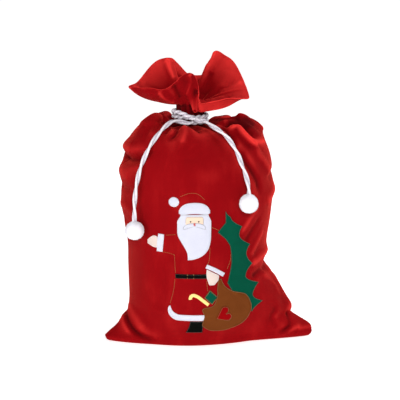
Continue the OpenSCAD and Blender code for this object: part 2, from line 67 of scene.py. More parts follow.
class Wire:
    """An output socket in a node tree. Operators between wires and numbers add Math nodes."""

    def __init__(self, tree, socket=None):
        self.tree, self.socket = tree, socket

    def node(self, kind, settings=None, sockets=None, out=0):
        """Adds a node, sets its settings, then fills its sockets with values or wires."""
        made = self.tree.nodes.new(kind)
        for name, value in (settings or {}).items():
            setattr(made, name, value)
        for name, value in (sockets or {}).items():
            if isinstance(value, Wire):
                self.tree.links.new(value.socket, made.inputs[name])
            else:
                made.inputs[name].default_value = value
        return Wire(self.tree, made.outputs[out])

    def maths(self, operation, *values):
        """The result of one Math node on wires or numbers."""
        return self.node("ShaderNodeMath", {"operation": operation}, dict(enumerate(values)))

    def __add__(self, other): return self.maths("ADD", self, other)
    def __radd__(self, other): return self.maths("ADD", other, self)
    def __sub__(self, other): return self.maths("SUBTRACT", self, other)
    def __rsub__(self, other): return self.maths("SUBTRACT", other, self)
    def __mul__(self, other): return self.maths("MULTIPLY", self, other)
    def __rmul__(self, other): return self.maths("MULTIPLY", other, self)

    def wave(self):
        """A wave between 0 and 1: half the sine of this wire's value, raised by a half."""
        return self.maths("SINE", self) * 0.5 + 0.5

    def tint(self, low, high):
        """The colour between low and high at this wire's value, through a Mix node."""
        return self.node("ShaderNodeMix", {"data_type": "RGBA"}, {0: self, 6: low, 7: high}, out=2)

    def noise(self, place, scale, detail=2.0, rough=0.5):
        """Soft noise between 0 and 1 at a place, finer with a larger scale."""
        return self.node("ShaderNodeTexNoise", None,
                         {"Vector": place, "Scale": scale, "Detail": detail, "Roughness": rough})

    def stretched(self, place, scale):
        """A place with each of its three coordinates times its own scale."""
        return self.node("ShaderNodeMapping", None, {"Vector": place, "Scale": scale})

    def place(self):
        """The place on the piece in Object coordinates."""
        return self.node("ShaderNodeTexCoord", out=3)

    def uv(self):
        """The two coordinates of the piece's own UV map, as two wires."""
        both = self.node("ShaderNodeUVMap")
        return tuple(self.node("ShaderNodeSeparateXYZ", None, {0: both}, out=i) for i in (0, 1))


def material(name, constants):
    """A Principled material with constant sockets: its wire, and a function that links the rest."""
    made = bpy.data.materials.new(name)
    made.use_nodes = True
    shader = made.node_tree.nodes["Principled BSDF"]
    for socket, value in constants.items():
        shader.inputs[socket].default_value = value
    wire = Wire(made.node_tree)

    def link(colour=None, rough=None, height=None, depth=0.001):
        """Links what varies: colour, roughness and a bump of some depth in metres."""
        links = [("Base Color", colour), ("Roughness", rough)]
        if height is not None:
            links.append(("Normal", wire.node("ShaderNodeBump", None,
                                              {"Height": height, "Distance": depth})))
        for socket, value in links:
            if value is not None:
                made.node_tree.links.new(value.socket, shader.inputs[socket])
        return made

    return wire, link


def make_piece(name, points, faces, finish, uv=None):
    """A smooth mesh object from points in mm and arrays of faces with equal corner counts."""
    mesh = bpy.data.meshes.new(name)
    corners = np.concatenate([f.ravel() for f in faces])
    sizes = np.concatenate([np.full(len(f), f.shape[1]) for f in faces])
    mesh.vertices.add(len(points))
    mesh.vertices.foreach_set("co", (np.asarray(points, float) / 1000).astype(np.float32).ravel())
    mesh.loops.add(len(corners))
    mesh.loops.foreach_set("vertex_index", corners.astype(np.int32))
    mesh.polygons.add(len(sizes))
    mesh.polygons.foreach_set("loop_start", (np.cumsum(sizes) - sizes).astype(np.int32))
    mesh.polygons.foreach_set("use_smooth", np.ones(len(sizes), bool))
    if uv is not None:
        mesh.uv_layers.new(name="UVMap").data.foreach_set("uv", uv.astype(np.float32).ravel())
    mesh.update(calc_edges=True)
    mesh.validate()
    mesh.materials.append(finish)
    piece = bpy.data.objects.new(name, mesh)
    scene.collection.objects.link(piece)
    return piece


def look_at(thing, place):
    """Puts a camera or a light at a place and turns it to the aim."""
    thing.location = place
    thing.rotation_mode = "QUATERNION"
    thing.rotation_quaternion = (aim - Vector(place)).to_track_quat("-Z", "Y")
    scene.collection.objects.link(thing)


forward = Vector((-np.sin(camera_turn) * np.cos(camera_rise),
                  np.cos(camera_turn) * np.cos(camera_rise), -np.sin(camera_rise)))
camera = bpy.data.cameras.new("camera")
camera.sensor_width = film_w
camera.lens = film_w / 2 * camera_away / half_picture
camera.clip_end = camera_reach
eye = bpy.data.objects.new("camera", camera)
look_at(eye, aim - forward * camera_away)
scene.camera = eye

for name, place, size, watts in lamps:
    light = bpy.data.lights.new(name, "AREA")
    light.size, light.energy = size, watts
    look_at(bpy.data.objects.new(name, light), place)

key = bpy.data.lights.new("key_light", "SUN")
key.energy, key.angle = key_strength, key_soft
look_at(bpy.data.objects.new("key_light", key), key_from)

# The light all round is weaker than the white that the picture shows behind the sack
world = bpy.data.worlds.new("studio")
world.use_nodes = True
background = world.node_tree.nodes["Background"]
background.inputs["Color"].default_value = white_light
seen = Wire(world.node_tree).node("ShaderNodeLightPath")
world.node_tree.links.new((seen * (1.0 - ambient) + ambient).socket, background.inputs["Strength"])
scene.world = world

floor_wire, floor_link = material("studio_floor", {
    "Base Color": floor_colour, "Emission Color": white_light, "Emission Strength": floor_glow})
floor_rough = floor_wire.noise(floor_wire.place(), 3.0) * 0.1 + 0.85
ring = np.radians(np.arange(0, 360, 5))
floor_points = np.stack([floor_r * np.cos(ring), floor_r * np.sin(ring), 0 * ring + floor_z], -1)
floor = make_piece("studio_floor", floor_points, [np.arange(len(ring))[None]],
                   floor_link(rough=floor_rough))

# Drawcord
# One twisted white cord of two plies is wound about twice around the neck of the sack. Both ends
# cross at the front, lie over the shoulders and hang down the front to their pompoms.

# Sizes are in mm, and the routes over the shoulders and down the tails in metres
neck_x, neck_r, neck_dip = -36.0, 31.0, 27.0
shoulder_z, shoulder_rise = 370.0, 140.0
neck_z = shoulder_z + shoulder_rise - neck_dip
cord_d, cord_gap, cord_tilt, winding_lift = 10.0, 0.4, 0.06, 2.4
turn_r, turn_pitch = neck_r + cord_d / 2 + cord_gap, cord_d + 1
winding_z = neck_z + cord_d / 2 + cord_gap + winding_lift
first_phi, last_phi = 100.0, 85.0 + 720.0
cross_r, cross_from, cross_turn = turn_r + cord_d + 2, 15.0, 80.0
cross_drop, drop_from, drop_turn = 12.0, 35.0, 50.0
winding_twist, winding_ply, winding_offset, winding_step = 15.0, 3.3, 1.8, 1.6
tail_twist, tail_ply, tail_offset, tail_step = 45.0, 2.85, 2.15, 1.8
rope_sides = 28
sunk_end = np.array([0.0, 0.0, 0.008])
left_shoulder = [(-0.066, -0.046, 0.495), (-0.082, -0.054, 0.497), (-0.096, -0.065, 0.490)]
left_tail = [(-0.108, -0.076, 0.4815), (-0.123, -0.086, 0.466), (-0.1385, -0.092, 0.444),
             (-0.150, -0.094, 0.420), (-0.1585, -0.094, 0.397), (-0.164, -0.095, 0.373),
             (-0.168, -0.095, 0.350), (-0.170, -0.096, 0.325), (-0.171, -0.098, 0.295)]
right_shoulder = [(-0.013, -0.062, 0.497), (-0.003, -0.079, 0.4905), (0.009, -0.090, 0.4835)]
right_tail = [(0.020, -0.098, 0.4755), (0.033, -0.107, 0.462), (0.043, -0.1145, 0.446),
              (0.051, -0.1195, 0.430), (0.056, -0.123, 0.415), (0.061, -0.128, 0.401),
              (0.065, -0.134, 0.388), (0.0685, -0.140, 0.372), (0.070, -0.1435, 0.356)]
cord_shade, cord_pale = (0.30, 0.25, 0.33, 1.0), (0.92, 0.90, 0.94, 1.0)
yarns_round, yarn_slant, full_turn = 14.0, 1.6, 2 * np.pi


def smooth(t):
    """A soft step from 0 to 1: three times the square of t less twice its cube, flat outside."""
    c = np.clip(t, 0, 1)
    return c * c * (3 - 2 * c)


def mix(a, b, t):
    """The value at a share t of the way from a to b."""
    return a + (b - a) * t


def unit(v):
    """Vectors divided by their lengths."""
    return v / np.maximum(np.linalg.norm(v, axis=-1, keepdims=True), 1e-9)


def curve_through(knots, places):
    """Values at places on the smooth curve through rows of knots, whose first column is the place.
    Each stretch between two rows is a cubic that leaves a row parallel to its two neighbours."""
    k = np.clip(np.searchsorted(knots[:, 0], places, "right") - 1, 1, len(knots) - 3)
    a, b, c, d = knots[k - 1, 1:], knots[k, 1:], knots[k + 1, 1:], knots[k + 2, 1:]
    t = ((places - knots[k, 0]) / (knots[k + 1, 0] - knots[k, 0]))[..., None]
    return 0.5 * (2 * b + (c - a) * t + (2 * a - 5 * b + 4 * c - d) * t ** 2
                  + (3 * b - a - 3 * c + d) * t ** 3)


def open_curve(points, places):
    """Values at places on the smooth curve through points, which are numbered from 0. A point more
    at either end, straight on, gives the first and the last stretch their direction."""
    knots = np.column_stack([np.arange(len(points)), points])
    ends = np.vstack([2 * knots[0] - knots[1], knots, 2 * knots[-1] - knots[-2]])
    return curve_through(ends, places)


def even_line(points, step):
    """Points about step apart along the smooth curve through some points, and their distances."""
    fine = open_curve(points, np.linspace(0, len(points) - 1, 60 * len(points)))
    run = np.concatenate([[0], np.cumsum(np.linalg.norm(np.diff(fine, axis=0), axis=1))])
    at = np.linspace(0, run[-1], max(2, int(run[-1] / step) + 1))
    return np.stack([np.interp(at, run, one) for one in fine.T], -1), at


def winding_line(turn):
    """Centre of the wound cord at an angle: a slightly tilted helix around the neck whose last
    stretch moves out over the turns and drops towards the shoulder."""
    left = last_phi - turn
    r = mix(cross_r, turn_r, smooth((left - cross_from) / cross_turn))
    z = (winding_z + turn_pitch * (turn - first_phi) / 360
         - cross_drop * smooth((drop_from - left) / drop_turn))
    a = np.radians(turn)
    return np.stack([neck_x - r * np.cos(a), -r * np.sin(a), z + cord_tilt * r * np.cos(a)], -1)


def free_run(end, way, shoulder, tail):
    """Centre line of a free cord: straight out of the winding, over the shoulder, down its tail and
    a little way into the pompom."""
    rest = 1000 * np.array(shoulder + tail + [tail[-1] - sunk_end])
    return even_line(np.vstack([end, end + cord_d * way, rest]), tail_step)


def tube_quads(rings, sides):
    """The quads between neighbouring rings of a tube: the ring and the side of their corners, and
    the corners' numbers."""
    k, i = np.meshgrid(np.arange(rings - 1), np.arange(sides), indexing="ij")
    ring, side = np.stack([k, k + 1, k + 1, k], -1), np.stack([i, i, i + 1, i + 1], -1)
    return ring, side, (ring * sides + side % sides).reshape(-1, 4)


def rope(line, at, up, half_twist, phase, ply, offset):
    """A two-ply cord along a line: its section is the outline of two touching plies, which turns
    half a round in every half twist. Gives its points, faces, UV map and the plies' last way."""
    along = unit(np.gradient(line, axis=0))
    side = unit(np.cross(along, up))
    over = np.cross(side, along)
    twist = phase + np.pi * at / half_twist
    a = np.linspace(0, 2 * np.pi, rope_sides, endpoint=False)
    across = a[None] - twist[:, None]
    r = offset * np.abs(np.cos(across)) + np.sqrt(ply ** 2 - (offset * np.sin(across)) ** 2)
    points = line[:, None] + r[..., None] * (np.cos(a)[None, :, None] * side[:, None]
                                             + np.sin(a)[None, :, None] * over[:, None])
    ring, turn, quads = tube_quads(len(line), rope_sides)
    cap = np.arange(rope_sides)
    caps = np.stack([cap, (len(line) - 1) * rope_sides + cap[::-1]])
    u = turn / rope_sides - twist[ring] / (2 * np.pi)
    uv = np.stack([u, at[ring] / cord_d], -1).reshape(-1, 2)
    ply_way = np.cos(twist[-1]) * side[-1] + np.sin(twist[-1]) * over[-1]
    return (points.reshape(-1, 3), [quads, caps],
            np.concatenate([uv, np.zeros((2 * rope_sides, 2))]), ply_way)


def start_turn(line, up, ply_way):
    """The turn at which a rope starts so that its plies carry on from another rope's end."""
    along = unit(line[1] - line[0])
    side = unit(np.cross(along, up))
    return np.arctan2(ply_way @ np.cross(side, along), ply_way @ side)


turns = winding_line(np.linspace(first_phi, last_phi, 49))
left_out, right_out = unit(turns[0] - turns[1]), unit(turns[-1] - turns[-2])
left_end, right_end = turns[0] + cord_d * left_out, turns[-1] + cord_d * right_out
wound, wound_at = even_line(np.vstack([left_end, turns, right_end]), winding_step)
left_run, left_at = free_run(left_end, left_out, left_shoulder, left_tail)
right_run, right_at = free_run(right_end, right_out, right_shoulder, right_tail)

cord_wire, cord_link = material("satin_cord", {
    "Sheen Weight": 0.2, "Sheen Tint": (1.0, 0.97, 1.0, 1.0)})
round_cord, along_cord = cord_wire.uv()
yarn = ((round_cord * yarns_round + along_cord * yarn_slant) * full_turn).wave()
# The grooves between the two plies are painted darker as shade and the tops of the plies paler,
# over the yarn's slanting stripes and its uneven tone
painted_ply_shade = (round_cord * (2 * full_turn) + full_turn / 4).wave()
patchy = cord_wire.noise(cord_wire.place(), 160.0)
cord_colour = (yarn * 0.25 + patchy * 0.35 + painted_ply_shade * 0.45).tint(cord_shade, cord_pale)
cord_finish = cord_link(cord_colour, patchy * 0.2 + 0.35, yarn + patchy * 0.5, 0.0004)

upward, backward = np.array([0.0, 0.0, 1.0]), np.array([0.0, 1.0, 0.0])
points, faces, uv, last_way = rope(wound, wound_at, upward, winding_twist, 0.0,
                                   winding_ply, winding_offset)
neck_rope = make_piece("neck_rope", points, faces, cord_finish, uv)
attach(neck_rope, "sack")
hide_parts("neck_winding")
tuple(left_end / 1000)
first_way = unit(np.cross(wound[1] - wound[0], upward))

# Pompoms
# A ball of cut white yarn is tied on each end of the cord. The yarn ends stand out all round,
# uneven and close together, so the ball looks soft and slightly lumpy.

pompom_r, ball_r, core_share, core_rows, core_columns = 22.0, 20.6, 0.965, 24, 48
yarn_ends, yarn_r, strand_sides, strand_stray, strand_bend = 2400, 0.5, 3, 0.05, 0.05
strand_at, strand_thick = np.array([0.86, 0.93, 0.98, 1.0]), np.array([1.0, 1.15, 0.9, 0.35])
pile_shade, pile_pale = (0.74, 0.73, 0.80, 1.0), (0.88, 0.87, 0.90, 1.0)
rng = np.random.default_rng(11)


def crumple(face, waves, longest, shortest, size, rng):
    """A sum of plain waves in random directions, so that no stretch of a face is quite smooth."""
    way = unit(rng.normal(size=(waves, 3)))
    length = rng.uniform(shortest, longest, waves)
    start = rng.uniform(0, 2 * np.pi, waves)
    height = np.sin(face @ (way / length[:, None]).T * 2 * np.pi + start)
    return size * height.sum(-1) / np.sqrt(waves)


def yarn_strands(rng):
    """Cut yarn ends: each is a short three-sided strand from the core outwards, bent a little and
    narrowed to a blunt tip, in one of evenly spread directions."""
    k = np.arange(yarn_ends) + 0.5
    z = 1 - 2 * k / yarn_ends
    turn = k * np.pi * (3 - np.sqrt(5))
    way = np.stack([np.sqrt(1 - z * z) * np.cos(turn), np.sqrt(1 - z * z) * np.sin(turn), z], -1)
    way = unit(way + strand_stray * rng.normal(size=way.shape))
    lumps = crumple(way, waves=9, longest=2.2, shortest=1.2, size=0.02, rng=rng)
    length = (1 + lumps) * rng.uniform(0.96, 1.04, yarn_ends)
    side = unit(np.cross(way, rng.normal(size=way.shape)))
    over = np.cross(way, side)
    bend = (side * rng.normal(0, strand_bend, (yarn_ends, 1))
            + over * rng.normal(0, strand_bend, (yarn_ends, 1)))
    bent = ((strand_at - strand_at[0]) / (1 - strand_at[0])) ** 2
    spine = (way[:, None] * (strand_at[None] * length[:, None])[..., None]
             + bend[:, None] * bent[None, :, None]) * ball_r
    a = np.arange(strand_sides) * 2 * np.pi / strand_sides
    rings = (side[:, None, None] * np.cos(a)[None, None, :, None]
             + over[:, None, None] * np.sin(a)[None, None, :, None])
    rings = rings * (strand_thick * yarn_r)[None, :, None, None]
    per, corner = len(strand_at) * strand_sides, np.arange(strand_sides)
    first = np.arange(yarn_ends)[:, None] * per
    outward = tube_quads(len(strand_at), strand_sides)[2][:, [0, 3, 2, 1]]
    tips = np.vstack([first + per - strand_sides + corner, first + corner[::-1]])
    quads = (first[..., None] + outward).reshape(-1, 4)
    return (spine[:, :, None] + rings).reshape(-1, 3), quads, tips


def core_ball(r, rows, cols):
    """A ball with rows of equal tilt and columns of equal turn, closed at both poles."""
    tilt, spin = np.meshgrid(np.linspace(0, np.pi, rows + 1)[1:-1],
                             np.linspace(0, 2 * np.pi, cols, endpoint=False), indexing="ij")
    points = np.stack([np.sin(tilt) * np.cos(spin), np.sin(tilt) * np.sin(spin), np.cos(tilt)], -1)
    points = np.vstack([points.reshape(-1, 3), [0, 0, 1], [0, 0, -1]]) * r
    i, j, last = np.arange(cols), (np.arange(cols) + 1) % cols, (rows - 2) * cols
    poles = np.vstack([np.stack([0 * i + last + cols, i, j], -1),
                       np.stack([0 * i + last + cols + 1, last + j, last + i], -1)])
    return points, tube_quads(rows - 1, cols)[2], poles


pile_wire, pile_link = material("pompom_pile", {
    "Sheen Weight": 0.4, "Sheen Tint": (1.0, 1.0, 1.0, 1.0)})
pile_patch = pile_wire.noise(pile_wire.place(), 220.0)
pompom_finish = pile_link(pile_patch.tint(pile_shade, pile_pale), pile_patch * 0.1 + 0.85,
                          pile_wire.noise(pile_wire.place(), 1500.0), 0.0004)
pompom_drop = np.array([0.0, 0.0, cord_d / 2 + cord_gap + pompom_r])
pompom_centres = []
for side, shoulder, tail, line, at, first, length in (
        ("left", left_shoulder, left_tail, left_run, left_at, first_way, 0.298),
        ("right", right_shoulder, right_tail, right_run, right_at, last_way, 0.227)):
    centre = 1000 * np.array(tail[-1]) - pompom_drop
    strands, quads, tips = yarn_strands(rng)
    ball, skin, poles = core_ball(core_share * ball_r, core_rows, core_columns)
    shift = len(strands)
    pompom = make_piece(f"{side}_pompom_yarn", np.vstack([strands, ball]) + centre,
                        [quads, skin + shift, tips, poles + shift], pompom_finish)
    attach(pompom, f"{side}_pompom")
    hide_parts(f"{side}_pompom")
    pompom_centres.append(centre)

    # The free cord runs over the shoulder and down its tail to the pompom
    points, faces, uv, _ = rope(line, at, backward, tail_twist, start_turn(line, backward, first),
                                tail_ply, tail_offset)
    free_rope = make_piece(f"{side}_rope", points, faces, cord_finish, uv)
    hinge = np.array(tail[0])
    tuple(mix(hinge, np.array(shoulder[-1]), 0.6))
    tuple(mix(hinge, np.array(tail[1]), 0.6))
    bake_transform(free_rope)
    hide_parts(f"{side}_cord_top", f"{side}_tail")
    tuple(line[0] / 1000)
    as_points(line / 1000)


# Sack cloth
# Two panels of red velvet, sewn along both sides and the bottom and filled with soft presents. The
# filling swells the body, the corners of the bottom seam stick out empty, and the tie gathers the
# neck, so pleats fan out over the shoulders and the free mouth above it opens in a folded ruffle.

body_x, neck_h = -20.0, 44.0
mouth_z = neck_z + neck_h
bottom_w, waist_w, shoulder_w = 470.0, 312.0, 340.0
waist_z, waist_rise = 190.0, 140.0
foot_d, body_d, foot_edge, foot_rise = 206.0, 276.0, 12.0, 90.0
lens_power, round_z = 1.8, 120.0
corner_h, corner_fade = (70.0, 160.0), (1.6, 1.25)
corner_swing, swing_from, swing_h = (45.0, 65.0), 100.0, 150.0
corner_tip, tip_rise = 5.0, 24.0
ear_out, ear_in = (0.08, 26.0, 9.0), (0.15, 51.0, 13.0)
side_fill, front_fill = (1.0, 0.34), 0.95
front_drop, right_drop, drop_soft, dip_flat, dip_w = 14.0, 15.0, 0.7, 12.0, 38.0
cloth_t, hem_t, hem_share, hem_proud = 1.8, 2.8, 0.94, 0.5
groove_deep, groove_w = 1.4, 3.0


def corner_pull(x, z):
    """How far the cloth is pulled to the front: more towards the tips of the bottom corners, and
    less with the height above them."""
    out = np.maximum(0, np.abs(x - body_x) - swing_from) / (bottom_w / 2 - body_x - swing_from)
    return np.where(x < body_x, *corner_swing) * out ** 1.5 * (1 - smooth(z / swing_h))


def bell(x, middle, width):
    """A bell of height 1 around a middle: e to minus the square of the distance in widths."""
    return np.exp(-((x - middle) / width) ** 2)


def sack_face(phi, v):
    """Point of the plain filled sack at an angle phi in degrees, from the left seam over the front,
    and a height v: 0 to 1 up the wall, 1 to 2 over the shoulders to the neck. Each section is an
    ellipse, pinched to a pointed lens near the bottom, whose half width and half depth change with
    the height: wide corners at the foot, a waist, full shoulders, then the neck's radius. The
    corners are pulled forward, the right one stands out as a rounded ear with a notch above it, and
    the cloth sinks in around the neck."""
    angle = np.radians(phi)
    side, front = -np.cos(angle), -np.sin(angle)
    z = np.where(v <= 1, shoulder_z * v,
                 shoulder_z + shoulder_rise * np.sin(np.radians(90 * np.clip(v - 1, 0, 1))))
    up = np.clip((z - shoulder_z) / shoulder_rise, 0, 1)
    rounding = foot_edge - np.clip(z, 0, foot_edge)
    edge_in = foot_edge - np.sqrt(foot_edge ** 2 - rounding ** 2)
    rise = np.maximum(0, z - foot_edge)
    left = np.maximum(0, 1 - rise / corner_h[0]) ** corner_fade[0]
    right = np.maximum(0, 1 - rise / corner_h[1]) ** corner_fade[1]
    right = right + np.abs(side) ** 3 * (ear_out[0] * bell(z, *ear_out[1:])
                                         - ear_in[0] * bell(z, *ear_in[1:]))
    belly = mix(waist_w, shoulder_w, smooth((z - waist_z) / waist_rise)) / 2
    corner = bottom_w / 2 - np.sign(side) * body_x
    wide = mix(belly, corner, np.where(side < 0, left, right)) - edge_in
    deep = mix(foot_d, body_d, smooth(z / foot_rise)) / 2 - edge_in
    half_w = mix(neck_r, wide, (1 - up ** 2) ** (np.where(side < 0, *side_fill) / 2))
    half_d = mix(neck_r, deep, (1 - up ** 2) ** (front_fill / 2))
    tip = corner_tip * (1 - smooth(z / tip_rise)) * smooth(np.abs(front) / 0.2)
    lens = np.abs(front) ** (lens_power - (lens_power - 1) * smooth(z / round_z))
    x = mix(body_x, neck_x, smooth(up)) + side * half_w
    y = np.sign(front) * (half_d * lens + tip) - corner_pull(x, z)
    r = np.maximum(np.hypot(x - neck_x, y), 1)
    drop = (front_drop * smooth((-y / r - 0.2) / drop_soft)
            + right_drop * smooth(((x - neck_x) / r - 0.1) / drop_soft))
    near_neck = 1 - smooth((r - neck_r - dip_flat) / dip_w)
    hollow = (neck_dip - drop) * near_neck * smooth(up / 0.3)
    return np.stack([x, y, z - drop * up ** 2 - hollow], -1)


# The rim of the mouth as angle around the neck's axis, reach and height above the neck, then the
# pouch where the cloth hangs over most and the knees over which it bends on its way to the rim
rim = np.array([
    (3, 135, 40), (22, 104, 40), (38, 82, 38), (53, 68, 51), (65, 57, 66), (80, 48, 73),
    (95, 45, 66), (103, 45, 46), (103, 46, 18), (105, 49, -4), (114, 56, -12), (138, 79, -6),
    (157, 107, 2), (171, 129, 11), (185, 124, 41), (201, 116, 81), (214, 104, 101), (223, 91, 109),
    (228, 83, 90), (233, 77, 60), (260, 61, 57), (285, 62, 78), (300, 58, 94), (309, 70, 96),
    (319, 82, 92), (328, 93, 81), (338, 105, 62), (348, 118, 45)], float)
pouch_at, pouch_w, pouch_z = 10.0, 55.0, 2.0
mouth_roll, stand_from, stand_rise = 30.0, 10.0, 60.0
low_knee, high_knee, pouch_knee = 0.57, 0.38, 0.72


def mouth_face(phi, t):
    """Point of the ruffle at an angle phi of the neck and a share t from there to the rim: a
    quadratic curve from the neck over a knee to the rim, along which phi is spread by length. The
    knee rolls over where the rim lies low, is stretched where it stands up, and hangs in the
    pouch."""
    a = np.radians(rim[:, 0])
    edge = np.column_stack([-rim[:, 1] * np.cos(a), -rim[:, 1] * np.sin(a), rim[:, 2]])
    apart = np.linalg.norm(np.diff(np.vstack([edge, edge[:1]]), axis=0), axis=1)
    spread = rim[0, 0] + 360 * (np.cumsum(apart) - apart) / apart.sum()
    knots = np.column_stack([spread, edge])
    turn = np.array([360.0, 0, 0, 0])
    end = curve_through(np.concatenate([knots - turn, knots, knots + turn]), phi)
    standing = smooth((end[..., 2] - stand_from) / stand_rise)
    pouch = smooth(1.3 - np.abs((phi - pouch_at + 180) % 360 - 180) / pouch_w)
    start = neck_r * np.stack([-np.cos(np.radians(phi)), -np.sin(np.radians(phi)), 0 * phi], -1)
    knee_share = mix(mix(low_knee, high_knee, standing), pouch_knee, pouch)
    knee = mix(start, end, knee_share[..., None])
    knee[..., 2] = mix(mix(mouth_roll, end[..., 2] / 2, standing), pouch_z, pouch)
    t = t[..., None]
    return [neck_x, 0, mouth_z] + (1 - t) ** 2 * start + 2 * t * (1 - t) * knee + t ** 2 * end


# Rows of the cloth from the bottom seam to the rim, and columns once around the sack
base_rows, wall_rows, shoulder_rows, neck_rows, mouth_rows = 8, 84, 56, 8, 56
columns = 360
half = columns // 2
around = np.linspace(0, 360, columns + 1)
wall_v = (np.arange(wall_rows + 1) / wall_rows) ** 1.3
shoulder_v = 1 + 0.995 * (1 - (1 - np.arange(1, shoulder_rows + 1) / shoulder_rows) ** 1.4)
body_v = np.concatenate([wall_v, shoulder_v])
phi, v = np.meshgrid(around, body_v)
body = sack_face(phi, v)
body_middle = [body_x, 0, 250]


def grid_normals(grid):
    """Unit normals of a grid that closes around its columns, from differences along both ways."""
    wrapped = np.concatenate([grid[:, -2:-1], grid, grid[:, 1:2]], 1)
    across = wrapped[:, 2:] - wrapped[:, :-2]
    return unit(np.cross(across, np.gradient(grid, axis=0)))


body_n = grid_normals(body)

# Folds as (height, width, line of angle and height places): ridges stand out and hollows sink in
folds = [
    # left shoulder: a crest, the hollow beside the tie, the notch in the flank, what bulges below
    (10, 20, [(8, 1.86), (10, 1.76), (14, 1.60)]),
    (-11, 10, [(330, 1.88), (0, 1.90), (36, 1.80)]),
    (5, 9, [(30, 1.74), (34, 1.66), (40, 1.52)]),
    (-7, 8, [(46, 1.92), (52, 1.78), (54, 1.58)]),
    (6, 14, [(354, 1.33), (8, 1.33), (20, 1.33)]),
    (-19, 11, [(350, 1.195), (12, 1.195), (26, 1.22), (36, 1.25)]),
    (-6, 8, [(26, 1.25), (38, 1.28), (48, 1.34)]),
    (4, 13, [(352, 1.06), (6, 1.05), (22, 1.03)]),
    (-5, 7, [(352, 0.95), (9, 0.94), (24, 0.95)]),
    (4, 12, [(358, 0.84), (15, 0.84), (30, 0.80)]),
    (-4, 7, [(356, 0.74), (14, 0.73), (28, 0.70)]),
    # pleats under the tie at the front
    (-10, 12, [(91, 1.90), (94, 1.82), (97, 1.72)]),
    (-7, 6, [(86, 1.84), (90, 1.74), (93, 1.64)]),
    (3, 8, [(72, 1.84), (77, 1.66), (74, 1.46)]),
    (-7, 7, [(60, 1.88), (66, 1.66), (63, 1.52)]),
    (2, 16, [(62, 1.50), (62, 1.36), (60, 1.16)]),
    (-1.2, 16, [(108, 1.62), (108, 1.35), (107, 1.02)]),
    (-1.2, 20, [(80, 1.30), (78, 1.10), (80, 0.98)]),
    # right shoulder: a hollow beside the cord, a lit ridge, a dark hollow behind it, the back crest
    (-10, 9, [(112, 1.92), (122, 1.80), (122, 1.62), (120, 1.44)]),
    (6, 13, [(124, 1.74), (133, 1.68), (140, 1.45)]),
    (9, 6, [(127, 1.77), (135, 1.73), (134, 1.60), (136, 1.48), (140, 1.40)]),
    (4, 7, [(140, 1.46), (147, 1.42), (160, 1.41)]),
    (-20, 12, [(134, 1.91), (148, 1.79), (146, 1.63), (150, 1.52)]),
    (14, 16, [(166, 1.90), (180, 1.78), (184, 1.48)]),
    (5, 10, [(140, 1.36), (141, 1.27), (147, 1.16), (154, 1.05)]),
    (-6, 9, [(122, 1.34), (124, 1.22), (130, 1.07), (137, 0.93)]),
    (-6, 8, [(180, 1.06), (166, 1.02), (152, 1.00)]),
    (6, 14, [(176, 0.92), (160, 0.90), (146, 0.86)]),
    # right flank: slanting folds over the waist and down to the corner
    (3, 7, [(131, 0.55), (138, 0.62), (146, 0.69)]),
    (-3, 8, [(124, 0.64), (131, 0.71), (139, 0.77)]),
    (2, 6, [(119, 0.71), (126, 0.78), (134, 0.84)]),
    (-10, 12, [(184, 0.46), (170, 0.46), (158, 0.45)]),
    (-5, 7, [(158, 0.44), (144, 0.44), (132, 0.42)]),
    (5, 10, [(172, 0.54), (150, 0.53), (132, 0.50)]),
    (6, 18, [(170, 0.38), (169, 0.26), (166, 0.14)]),
    (5, 13, [(172, 0.07), (160, 0.06), (150, 0.05)]),
    (-8, 5, [(160, 0.145), (147, 0.09), (134, 0.035)]),
    (3, 5, [(138, 0.03), (147, 0.06), (161, 0.095)]),
    (-2, 9, [(142, 0.20), (135, 0.14), (134, 0.07)]),
    (3, 9, [(147, 0.42), (156, 0.35), (158, 0.27)]),
    (1.5, 12, [(149, 0.25), (146, 0.19), (138, 0.13)]),
    # left foot: the crease under the body and the small roll in front of the corner
    (-12, 5, [(350, 0.168), (10, 0.148), (26, 0.114), (46, 0.058), (60, 0.03)]),
    (3.5, 4, [(350, 0.14), (8, 0.128), (22, 0.10), (36, 0.065)]),
    (-8, 8, [(335, 0.085), (0, 0.088), (10, 0.075)]),
    (2, 10, [(356, 0.22), (10, 0.20), (30, 0.15), (47, 0.095)]),
    (-3, 20, [(60, 0.60), (52, 0.40), (50, 0.22)]),
    (1.5, 24, [(44, 0.80), (40, 0.55), (42, 0.30)]),
    # back: pleats from the neck, two waist creases, the corner creases and long soft swells
    (-16, 18, [(200, 1.84), (216, 1.58), (226, 1.20)]),
    (9, 18, [(216, 1.84), (231, 1.60), (235, 1.30)]),
    (-10, 14, [(250, 1.86), (252, 1.62), (249, 1.36)]),
    (8, 16, [(266, 1.84), (266, 1.58), (262, 1.20)]),
    (-12, 15, [(284, 1.86), (290, 1.60), (292, 1.30)]),
    (10, 16, [(304, 1.84), (310, 1.60), (316, 1.34)]),
    (-14, 16, [(326, 1.86), (333, 1.58), (338, 1.30)]),
    (-7, 9, [(196, 0.52), (218, 0.47), (238, 0.42)]),
    (-6, 10, [(346, 0.90), (326, 0.86), (308, 0.78)]),
    (6, 12, [(204, 0.62), (222, 0.70), (236, 0.82)]),
    (-8, 9, [(194, 0.17), (214, 0.10), (230, 0.04)]),
    (-7, 9, [(346, 0.17), (328, 0.11), (312, 0.05)]),
    (4, 28, [(256, 1.10), (258, 0.70), (250, 0.34)]),
    (-4, 24, [(288, 1.02), (281, 0.62), (286, 0.36)]),
]


